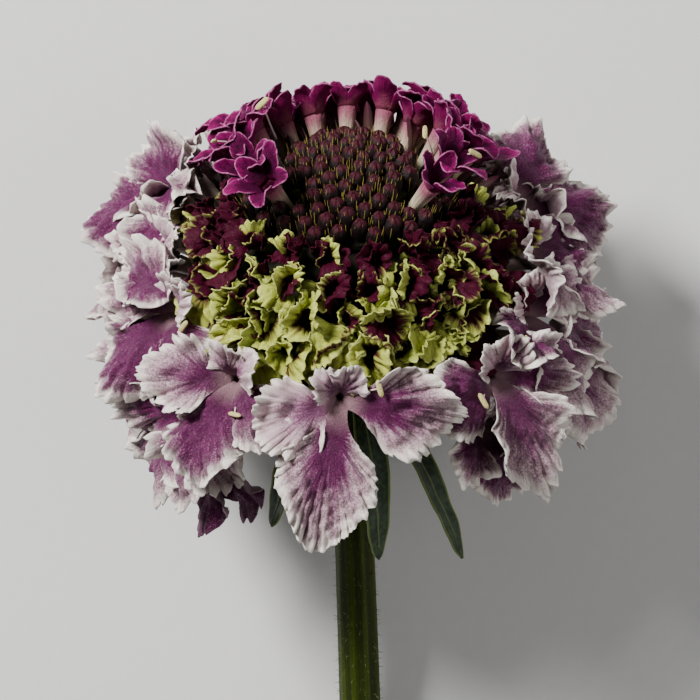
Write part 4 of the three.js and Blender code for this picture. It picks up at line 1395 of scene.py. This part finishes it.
@dataclass
class YoungFlorets(Assembly):
    """The band of small crimped florets on the near side.

    Each row is its polar angle, its reach to either side, its count and its lobes' length. swell and burgundy
    hold how much larger its lobes grow and how many of them are dark, row by row.
    """

    core: float = 18.0
    throat: float = 19.7
    sink: float = 0.7
    seed: int = 215
    swell: tuple[float, ...] = (1.25, 1.5, 1.6, 1.75)
    burgundy: tuple[float, ...] = (0.92, 0.44, 0.26, 0.22)
    half: float = 0.1
    rows: tuple[tuple[float, float, int, float], ...] = (
        (46.5, 96, 10, 2.4),
        (57, 94, 12, 2.5),
        (67.5, 66, 9, 2.7),
        (78, 44, 6, 2.7),
    )
    zones: tuple[Zone, ...] = (
        ((41.85, 63.15), (0, 103.7)),
        ((63.15, 73.15), (0, 70.7)),
        ((73.15, 83.15), (0, 48.7)),
    )

    def lobes(self, i: int, size: float, row: int, reach: float) -> list[Lobe]:
        """The four lobes of a young floret.

        Args:
            i: its seed.
            size: the length of its lobes.
            row: its row, 0 nearest the buds.
            reach: how far it stands from the near middle, as a share of its row's reach.

        Returns:
            The lobes.
        """
        dark = self.burgundy[row] + 0.1 * reach**2
        return [self._lobe(i, size * self.swell[row], dark, place) for place in (-2, -1, 0, 1)]

    @staticmethod
    def _lobe(i: int, size: float, dark: float, place: int) -> Lobe:
        """One lobe, at a quarter turn that place counts; 0 is the large outer one."""
        k = 10 * (place + 3)
        length = size * {-2: 1.0, -1: 1.1, 0: 1.45, 1: 1.1}[place] * (1 + 0.2 * sway(i, k))
        closing = 94 + 18 * sway(i, k + 7) if place else 52 + 24 * sway(i, k + 7)
        tip = 44 + 56 * sway(i, k + 2) if place else -8 + 46 * sway(i, k + 2)
        dye, back = (1.0, 0.72 + 0.3 * sway(i, k + 5)), 0.9
        if draw(i, k + 6) < dark:
            dye, back = (1.2, 1.5 if draw(i, k + 11) < 0.7 else 1.16), 0.0
        return Lobe(
            90 * place + 25 * sway(i, k + 1),
            length,
            0.54 * length,
            ((0, 56), (0.4 * length, closing), (length, tip)),
            start=0.4,
            claw=0.8,
            ruffle=0.6,
            waves=3.6,
            phase=ANY_PHASE * draw(i, k + 3),
            cup=0.3 * sway(i, k + 8),
            twist=40 * sway(i, k + 9),
            grid=(23, 15),
            frill=Frill(0.36, 1.3, 0.18, tooth=0.34, crumple=0.42, crumple_size=2.3, inward=0.9),
            seed=10 * draw(i, k + 4),
            dye=dye,
            back=back,
        )

    def build(self) -> None:
        """Adds one piece for each row, and the ground under them."""
        for row, (polar, reach, count, size) in enumerate(self.rows):
            skin = Skin()
            for j in range(count):
                i = self.seed + 20 * row + j
                step = 2 * reach / count
                azimuth = -reach + step * (j + 0.5) + 0.15 * step * sway(i, 1)
                at = polar + 0.7 * sway(i, 2)
                grown = size * (1 + 0.1 * sway(i, 3))
                perch = Perch.on(self.head, (self.throat, at, azimuth), (at, azimuth), 45 * sway(i, 8))
                root = self.head.on_dome(self.core - self.sink, at, azimuth)
                tube = Tube(root, 0.7, 0.95, throat_depth=0.9, sides=12, steps=5)
                lobes = self.lobes(i, grown, row, abs(azimuth) / reach)
                add_floret(skin, self.head, perch, lobes, tube, self.half)
            self.place(f"young_florets_{row + 1}", skin, Paint.YOUNG, "young_florets")
        ground = core_skin(self.head, self.zones, self.core, 1.0)
        self.place("young_ground", ground, Paint.CORE, "young_florets")


@dataclass
class CrownFlorets(Assembly):
    """The dark open florets behind and beside the buds.

    Each row is its polar angle, the azimuth that it starts and ends at, its count, its throats' radius and
    its lobes' length. flare is how much further from the axis its florets look than they stand.
    """

    core: float = 18.0
    sink: float = 0.7
    seed: int = 266
    flare: float = 5.0
    half: float = 0.12
    chaff_count: int = 110
    chaff_length: float = 6.2
    rows: tuple[tuple[float, float, int, float, float], ...] = (
        (30, 52, 13, 23.9, 4.5),
        (43, 120, 5, 23.5, 4.5),
        (53, 134, 4, 22.5, 4.2),
        (36.5, 100, 10, 23.9, 5.0),
    )
    zones: tuple[Zone, ...] = (((26.85, 33.15), (46.3, 106.3)), ((26.85, 63.15), (106.3, 180)))

    def lobes(self, i: int, size: float) -> list[Lobe]:
        """The five spoon-shaped lobes of a crown floret."""
        return [self._lobe(i, size, place) for place in (-2, -1, 0, 1, 2)]

    @staticmethod
    def _lobe(i: int, size: float, place: int) -> Lobe:
        """One lobe, at a fifth of a turn that place counts."""
        k = 10 * (place + 3)
        length = size * (0.95 if place else 1.1) * (1 + 0.2 * sway(i, k))
        return Lobe(
            72 * place + 10 * sway(i, k + 1),
            length,
            0.3 * length,
            ((0, 62), (0.5 * length, 46 + 18 * sway(i, k + 2)), (length, 14 + 44 * sway(i, k + 3))),
            claw=0.75,
            cup=0.3 + 0.2 * sway(i, k + 6),
            twist=24 * sway(i, k + 7),
            shape=Outline.SPOON,
            grid=(15, 11),
            frill=Frill(0.12, 1.0, 0.1, crumple=0.24, crumple_size=1.9),
            seed=10 * draw(i, k + 4),
            dye=(1.0, 0.98 + 0.14 * sway(i, k + 5)),
        )

    def build(self) -> None:
        """Adds one piece for each row, and the ground under them."""
        for row, (polar, start, count, throat, size) in enumerate(self.rows):
            skin = Skin()
            for j in range(count):
                i = self.seed + 20 * row + j
                azimuth = mix(start, 360 - start, j / (count - 1)) + 2 * sway(i, 1)
                at = polar + 1.2 * sway(i, 2)
                radius = throat + 0.7 * sway(i, 3)
                face = (at + 1 + self.flare + 4 * sway(i, 9), azimuth)
                perch = Perch.on(self.head, (radius, at + 1, azimuth), face, 36 * sway(i, 8))
                root = self.head.on_dome(self.core - self.sink, at - 0.5, azimuth)
                tube = Tube(root, 0.7, 1.22, throat_depth=2.0, flare=1.6)
                add_floret(skin, self.head, perch, self.lobes(i, size), tube, self.half)
            self.place(f"crown_florets_{row + 1}", skin, Paint.CROWN, "crown_florets")
        chaff = Skin()
        for n in range(self.chaff_count):
            place = (mix(29, 62, draw(n, 68)), 180 + 78 * sway(n, 67))
            add_scale(chaff, self.head, self.core, place, self.chaff_length, n)
        self.place("crown_chaff", chaff, Paint.CROWN_CHAFF, "crown_florets")
        ground = core_skin(self.head, self.zones, self.core, 0.5)
        self.place("crown_ground", ground, Paint.CORE, "crown_florets")


@dataclass
class DiscBuds(Assembly):
    """The closed buds in the middle, with the bristles between them.

    They fill the cap up to cap_polar, the near sector of sector_side to either side up to last_polar, and
    from rim_polar on a wider sector of rim_side. profile holds a bud's radii and heights, as shares of its
    size.
    """

    core: float = 19.2
    radius: float = 1.08
    height: float = 2.1
    spacing: float = 2.3
    lean: float = 0.45
    sides: int = 16
    bristles: int = 9
    cap_polar: float = 23.5
    rim_polar: float = 36.0
    last_polar: float = 42.0
    sector_side: float = 41.0
    rim_side: float = 98.0
    profile: tuple[tuple[float, float], ...] = (
        (0.80, -0.60),
        (0.92, -0.10),
        (1.02, 0.25),
        (1.08, 0.50),
        (1.07, 0.70),
        (1.00, 0.88),
        (0.88, 1.04),
        (0.70, 1.18),
        (0.48, 1.28),
        (0.26, 1.34),
        (0.10, 1.36),
    )
    zones: tuple[Zone, ...] = (
        ((0, 25.15), (0, 180)),
        ((25.15, 40.15), (0, 43.7)),
        ((34.85, 40.15), (43.7, 103.7)),
    )

    def places(self) -> list[tuple[int, float, float]]:
        """Seed, polar angle and azimuth of each bud, on a spiral of equal areas."""
        area = math.sqrt(3) / 2 * self.spacing**2
        found = []
        polar = 0.0
        n = 0
        while polar <= self.last_polar:
            azimuth = (n * GOLDEN_ANGLE + 180) % 360 - 180
            height = 1 - (n + 0.4) * area / (TURN * (self.core + 1) ** 2)
            polar = math.degrees(math.acos(height))
            across = abs(azimuth)
            inside = polar < self.cap_polar or across < self.sector_side
            inside = inside or (polar > self.rim_polar and across < self.rim_side)
            if inside and polar <= self.last_polar:
                found.append((300 + n, polar, azimuth))
            n += 1
        return found

    def build(self) -> None:
        """Adds the buds, their ground and the bristles."""
        buds, bristles = Skin(), Skin()
        for i, polar, azimuth in self.places():
            self._add_bud(buds, i, polar, azimuth)
            for n in range(self.bristles):
                turn = 360 / self.bristles * n + 25 * sway(i, n)
                self._add_bristle(bristles, 10 * i + n, polar, azimuth, turn)
        self.place("disc_buds_closed", buds, Paint.BUD, "disc_buds")
        self.place("disc_bristles", bristles, Paint.BRISTLE, "disc_buds")
        self.place("disc_ground", core_skin(self.head, self.zones, self.core, 1.6), Paint.CORE, "disc_buds")

    def _axes(self, polar: float, azimuth: float) -> tuple[Array, Array, Array]:
        """A bud's own up, which leans towards the axis, and two directions square to it."""
        up = self.head.direction(self.lean * polar, azimuth)
        first = unit(np.cross(up, self.head.side + 0.01 * self.head.near))
        return up, first, np.cross(up, first)

    def _add_bud(self, skin: Skin, i: int, polar: float, azimuth: float) -> None:
        """Adds one closed bud, its folded lobes drawn together at the top."""
        up, first, second = self._axes(polar, azimuth)
        size = 1 + 0.08 * sway(i, 1)
        at = self.head.on_dome(self.core - 0.2, polar, azimuth)
        turns = angles(self.sides)
        radii, heights = np.array(self.profile).T[..., None]
        seams = np.cos(5 * turns + 6 * draw(i, 2))
        grip = rise(0.8, 1.15, heights)
        radius = radii * (1 + 0.05 * grip * seams) * self.radius * size
        height = (heights + 0.03 * grip * seams) * self.height * size
        points = at + radius[..., None] * circle(first, second, turns) + height[..., None] * up
        values = {"spot": triple(turns / TURN, heights, i), "relief": triple(grip * seams, 0, 0)}
        skin.tube(points, values)

    def _add_bristle(self, skin: Skin, i: int, polar: float, azimuth: float, turn: float) -> None:
        """Adds one stiff golden bristle beside a bud."""
        up, first, second = self._axes(polar, azimuth)
        angle = math.radians(turn)
        away = first * math.cos(angle) + second * math.sin(angle)
        foot = self.head.on_dome(self.core - 0.6, polar, azimuth) + away * (1.05 + 0.15 * sway(i, 1))
        length = 2.9 + 0.8 * sway(i, 2)
        lean = unit(up + away * 0.16 * sway(i, 3) + np.cross(up, away) * 0.16 * sway(i, 4))
        add_spike(skin, foot, lean * length, 0.07, i)


@dataclass
class Bracts(Assembly):
    """The green leaves under the head, and the collar that carries them.

    Each place is a leaf's azimuth, its length, its slope at the root and at the tip, and its turn.
    """

    collar_top: float = -10.8
    collar_bottom: float = -13.2
    collar_radius: float = 5.4
    neck_radius: float = 2.9
    collar_sides: int = 48
    sink: float = 1.6
    half_width: float = 2.0
    half: float = 0.2
    groove: float = 0.16
    places: tuple[tuple[float, ...], ...] = (
        (16, 21.5, -44, -84, 6),
        (50, 24, -30, -62, 0),
        (92, 20, -14, -60, 0),
        (140, 19, -8, -40, 0),
        (180, 17, 0, -25, 0),
        (222, 19, -8, -40, 0),
        (264, 20, -14, -60, 0),
        (318, 18.5, -26, -66, 0),
    )

    def build(self) -> None:
        """Adds the leaves and the collar as one piece."""
        skin = Skin()
        middle = 0.5 * (self.collar_top + self.collar_bottom)
        for i, (azimuth, length, root_slope, tip_slope, turn) in enumerate(self.places):
            out = self.head.direction(90, azimuth)
            at = self.head.middle + self.head.axis * middle + out * (self.collar_radius - self.sink)
            perch = Perch(at, self.head.axis, out, np.cross(self.head.axis, out))
            lobe = Lobe(
                turn,
                length,
                self.half_width * (1 + 0.1 * sway(i, 1)),
                ((0, root_slope), (0.4 * length, mix(root_slope, tip_slope, 0.75)), (length, tip_slope)),
                claw=1.1,
                cup=0.34,
                twist=16 * sway(i, 2),
                start=0,
                shape=Outline.LEAF,
                grid=(15, 41),
                frill=Frill(crumple=0.22, crumple_size=4.2),
                seed=i,
            )
            points, values = lobe.surface(perch)
            off = np.abs(values["spot"][..., 0])
            groove = self.groove * (1 - rise(0.0, 0.22, off))
            points = points - perch.face * groove[..., None]
            thickness = self.half * (1 - 0.5 * rise(0.5, 1.0, off) + 0.6 * (1 - rise(0, 0.2, off)))
            skin.sheet(self.head.press(points, self.half), thickness, values)
        self._add_collar(skin)
        self.place("bract_leaves", skin, Paint.LEAF, "bracts")

    def _add_collar(self, skin: Skin) -> None:
        """Adds the ring round the neck."""
        inner, outer = self.neck_radius + 0.3, self.collar_radius
        top, bottom = self.collar_top, self.collar_bottom
        profile = (
            (inner, top),
            (inner, bottom),
            (outer - 1.2, bottom),
            (outer - 0.7, bottom + 0.3),
            (outer - 0.1, top - 0.4),
            (outer - 0.4, top),
        )
        skin.tube(lathe(self.head, profile, angles(self.collar_sides)), {}, closed=True)


@dataclass
class Stem(Assembly):
    """The cut stem, from the receptacle down to the table.

    reach and aside say where it ends, flat how much of it lies on the table, neck and settle how gently it
    leaves the head and comes down. profile holds the radii and heights of the swollen top that carries the
    florets.
    """

    top_radius: float = 2.4
    end_radius: float = 2.9
    reach: float = 100.0
    aside: float = 1.8
    flat: float = 16.0
    sink: float = 3.0
    neck: float = 22.0
    settle: float = 34.0
    receptacle: float = 10.5
    sides: int = 54
    steps: int = 90
    ribs: int = 9
    cad_sides: int = 12
    hairs: int = 900
    first_hair_step: int = 14
    receptacle_sides: int = 48
    profile: tuple[tuple[float, float], ...] = (
        (2.3, -15.7),
        (2.5, -15.0),
        (2.85, -13.4),
        (2.9, -12.0),
        (3.3, -10.6),
        (5.8, -9.0),
        (8.6, -5.2),
        (10.3, -1.0),
        (10.2, 2.4),
        (7.6, 7.0),
        (4.0, 9.6),
        (1.0, 10.4),
    )

    def _centre_line(self) -> tuple[Array, Array, Array]:
        """Points at even distances along the stem, their directions, and the distances."""
        end = self.end_radius * math.cos(math.pi / self.cad_sides)
        start = self.head.middle + self.head.axis * (self.sink - self.receptacle)
        touch = np.array([self.aside, self.flat - self.reach, end])
        knots = (start, start - self.head.axis * self.neck, touch + np.array([0, self.settle, 0]), touch)
        u = np.linspace(0, 1, 400)[:, None]
        weights = ((1 - u) ** 3, 3 * (1 - u) ** 2 * u, 3 * (1 - u) * u**2, u**3)
        curve = sum(weight * knot for weight, knot in zip(weights, knots))
        curve = np.vstack([curve, touch - np.array([0, self.flat, 0])])
        length = np.concatenate([[0], np.cumsum(np.linalg.norm(np.diff(curve, axis=0), axis=1))])
        at = np.linspace(0, length[-1], self.steps)
        points = np.stack([np.interp(at, length, curve[:, axis]) for axis in range(3)], -1)
        return points, unit(np.gradient(points, axis=0)), at

    def build(self) -> None:
        """Adds the stem with its receptacle, and its hairs."""
        skin, hairs = Skin(), Skin()
        points, tangents, at = self._centre_line()
        turns = angles(self.sides)
        up = unit(np.cross(self.head.side, tangents))
        thick = mix(self.top_radius, self.end_radius, np.minimum(1, at / (at[-1] - self.flat)))
        ridge = np.cos(self.ribs * turns + 0.015 * at[:, None])
        radius = thick[:, None] * (0.972 + 0.018 * ridge)
        rings = points[:, None] + radius[..., None] * circle(up, self.head.side, turns)
        cut_rings = [mix(points[-1], rings[-1], share) for share in (0.8, 0.45)]
        rings = np.concatenate([rings, np.stack(cut_rings)])
        rings[..., 2] = np.maximum(rings[..., 2], 0)
        row = np.minimum(np.arange(len(rings)), self.steps - 1)
        cut = (np.arange(len(rings)) >= self.steps)[:, None]
        values = {"spot": triple(turns / TURN, at[row, None], cut), "relief": triple(ridge[row], 0, 0)}
        skin.tube(rings, values)
        swollen = lathe(self.head, self.profile, angles(self.receptacle_sides))
        skin.tube(swollen, {"spot": triple(angles(self.receptacle_sides)[None] / TURN, 0, 0)})
        self.place("stem_skin", skin, Paint.STEM, "stem")
        for n in range(self.hairs):
            step = int(mix(self.first_hair_step, self.steps - 1, draw(n, 71)))
            turn = TURN * draw(n, 72)
            side = self.head.side * math.sin(turn) + up[step] * math.cos(turn)
            foot = points[step] + side * thick[step] * 0.95
            lean = unit(side + 0.7 * sway(n, 73) * tangents[step])
            tip = foot + lean * (0.5 + 0.45 * draw(n, 74))
            if min(foot[2], tip[2]) > 0.2:
                add_spike(hairs, foot, tip - foot, 0.03, n)
        self.place("stem_hairs", hairs, Paint.STEM_HAIR, "stem")


@dataclass
class Stamens(Assembly):
    """Filaments and anthers that stand out of the open florets.

    Each perch is the throat's radius, polar angle and azimuth, the polar angle and azimuth that it faces, the
    direction round the face that the filament leans in, and its length.
    """

    filament_radius: float = 0.15
    perches: tuple[tuple[float, ...], ...] = (
        (24.5, 89, -3, 62, -3, 152, 3.4),
        (24.5, 89, -3, 62, -3, -150, 3.6),
        (24.5, 89, -3, 62, -3, 104, 5.8),
        (24.5, 89, -34, 62, -30, -150, 5.4),
        (24.5, 89, -34, 62, -30, 30, 5.0),
        (24.5, 91, 44, 64, 38, 120, 5.6),
        (24.5, 91, 44, 64, 38, -60, 5.0),
        (23.0, 80, -64, 56, -56, 80, 5.5),
        (24.5, 97, 78, 72, 68, -40, 5.8),
        (22.5, 74, -86, 48, -80, 20, 5.0),
        (22.5, 74, 87, 48, 80, 150, 5.4),
        (23.8, 31, -110, 37, -110, 60, 5.6),
        (23.6, 30, -124, 36, -124, 140, 6.2),
        (23.6, 31, 96, 37, 96, -80, 5.6),
        (23.6, 31, 70, 37, 70, -160, 6.2),
    )

    def build(self) -> None:
        """Adds the filaments and the anthers."""
        filaments, anthers = Skin(), Skin()
        for n, (*throat, face_polar, face_azimuth, turn, length) in enumerate(self.perches):
            perch = Perch.on(self.head, throat, (face_polar, face_azimuth), 0)
            away = perch.fanned(turn)
            foot = perch.at - 1.2 * perch.face + 0.3 * away
            lean = unit(perch.face + 0.75 * away)
            shares = np.linspace(0, 1, 12)[:, None]
            line = foot + shares * lean * length + shares**2 * (0.22 * length * away)
            self._add_filament(filaments, line, n)
            tangent = unit(line[-1] - line[-2])
            across = unit(np.cross(tangent, perch.face) + 0.5 * tangent * sway(n, 5))
            self._add_anther(anthers, line[-1] + 0.1 * tangent, across, n)
        self.place("stamen_filaments", filaments, Paint.FILAMENT, "ray_florets")
        self.place("stamen_anthers", anthers, Paint.ANTHER, "ray_florets")

    @staticmethod
    def _add_anther(skin: Skin, middle: Array, along: Array, seed: float) -> None:
        """Adds one two-lobed anther."""
        shares = np.linspace(-1, 1, 11)
        first = unit(np.cross(along, np.array([0.2, 0.4, 0.9])))
        turns = angles(14)
        waist = 1 + 0.28 * np.cos(2 * turns)
        ring = circle(first, np.cross(along, first), turns) * waist[:, None]
        widths = 0.27 * np.sqrt(np.maximum(0.02, 1 - shares**4)) * (1 + 0.1 * sway(seed, 3))
        points = middle + (shares * 1.1)[:, None, None] * along + widths[:, None, None] * ring
        skin.tube(points, {})

    def _add_filament(self, skin: Skin, line: Array, seed: float) -> None:
        """Adds a thin round thread along a line of points."""
        tangents = unit(np.gradient(line, axis=0))
        first = unit(np.cross(tangents, np.array([0.31, 0.52, 0.79])))
        ring = circle(first, np.cross(tangents, first), angles(8))
        widths = self.filament_radius * np.linspace(1, 0.7, len(line))
        points = line[:, None] + widths[:, None, None] * ring
        shares = np.linspace(0, 1, len(line))[:, None]
        skin.tube(points, {"spot": triple(0, shares, seed)})


# ---- stage, light and camera ----
@dataclass
class Studio:
    """A pale table, soft lamps, and a camera that looks straight down, with lengths in metres.

    middle is the head's middle, frame_width what the picture spans there, distance how high the camera stands
    over it and drop how far it is moved towards the stem.
    """

    middle: Vector
    frame_width: float = 0.0875
    distance: float = 0.6
    drop: float = 0.00625
    sensor: float = 36.0
    table_half: float = 1.6
    table_drop: float = 0.0001

    def build(self) -> None:
        """Adds the table, the lamps and the camera."""
        self._table()
        self._lamp("key", (-0.34, 0.30, 0.38), size=0.18, power=7.4)
        self._lamp("fill", (0.42, -0.10, 0.36), size=0.4, power=1.0)
        self._world()
        self._camera()

    def _table(self) -> None:
        """Adds the plain pale surface."""
        mesh = bpy.data.meshes.new("table")
        half, z = self.table_half, -self.table_drop
        corners = [(-half, -half, z), (half, -half, z), (half, half, z), (-half, half, z)]
        mesh.from_pydata(corners, [], [(0, 1, 2, 3)])
        table = bpy.data.objects.new("table", mesh)
        bpy.context.scene.collection.objects.link(table)
        sheet = NodeSheet("pale_table")
        grain = sheet.noise(sheet.millimetres(), 0.6, 3.0)
        colour = sheet.blend(grain, (0.76, 0.75, 0.73), (0.80, 0.79, 0.77))
        sheet.surface(colour, 0.85, sheet.bump(grain, 0.05, 0.1), {"Specular IOR Level": 0.2})
        mesh.materials.append(sheet.material)

    def _lamp(self, name: str, offset: tuple[float, float, float], size: float, power: float) -> None:
        """Adds a square soft lamp that looks at the flower."""
        data = bpy.data.lights.new(name, "AREA")
        data.size = size
        data.energy = power
        lamp = bpy.data.objects.new(name, data)
        lamp.location = self.middle + Vector(offset)
        lamp.rotation_mode = "QUATERNION"
        lamp.rotation_quaternion = (-Vector(offset)).to_track_quat("-Z", "Y")
        bpy.context.scene.collection.objects.link(lamp)

    def _world(self) -> None:
        """Gives the room an even soft light."""
        world = bpy.data.worlds.new("room")
        bpy.context.scene.world = world
        world.use_nodes = True
        background = world.node_tree.nodes["Background"]
        background.inputs["Color"].default_value = (0.95, 0.97, 1.0, 1.0)
        background.inputs["Strength"].default_value = 0.11

    def _camera(self) -> None:
        """Adds the camera over the head, with the stem leaving at the bottom."""
        data = bpy.data.cameras.new("camera")
        data.sensor_width = self.sensor
        data.lens = self.sensor * self.distance / self.frame_width
        data.clip_start, data.clip_end = 0.01, 10.0
        camera = bpy.data.objects.new("camera", data)
        camera.location = self.middle + Vector((0, -self.drop, self.distance))
        bpy.context.scene.collection.objects.link(camera)
        bpy.context.scene.camera = camera


def main() -> None:
    """Builds the flower's parts in order, then the studio."""
    logging.basicConfig(level=logging.INFO, format="%(message)s")
    head = Head()
    low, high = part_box("stem")
    shift = np.array([0.5 * (low.x + high.x) / MM, low.y / MM + Stem.reach, 0.0])
    for kind in (RayFlorets, YoungFlorets, CrownFlorets, DiscBuds, Bracts, Stem, Stamens):
        kind(head, shift).build()
    Studio(Vector(tuple((head.middle + shift) * MM))).build()


if __name__ == "__main__":
    main()
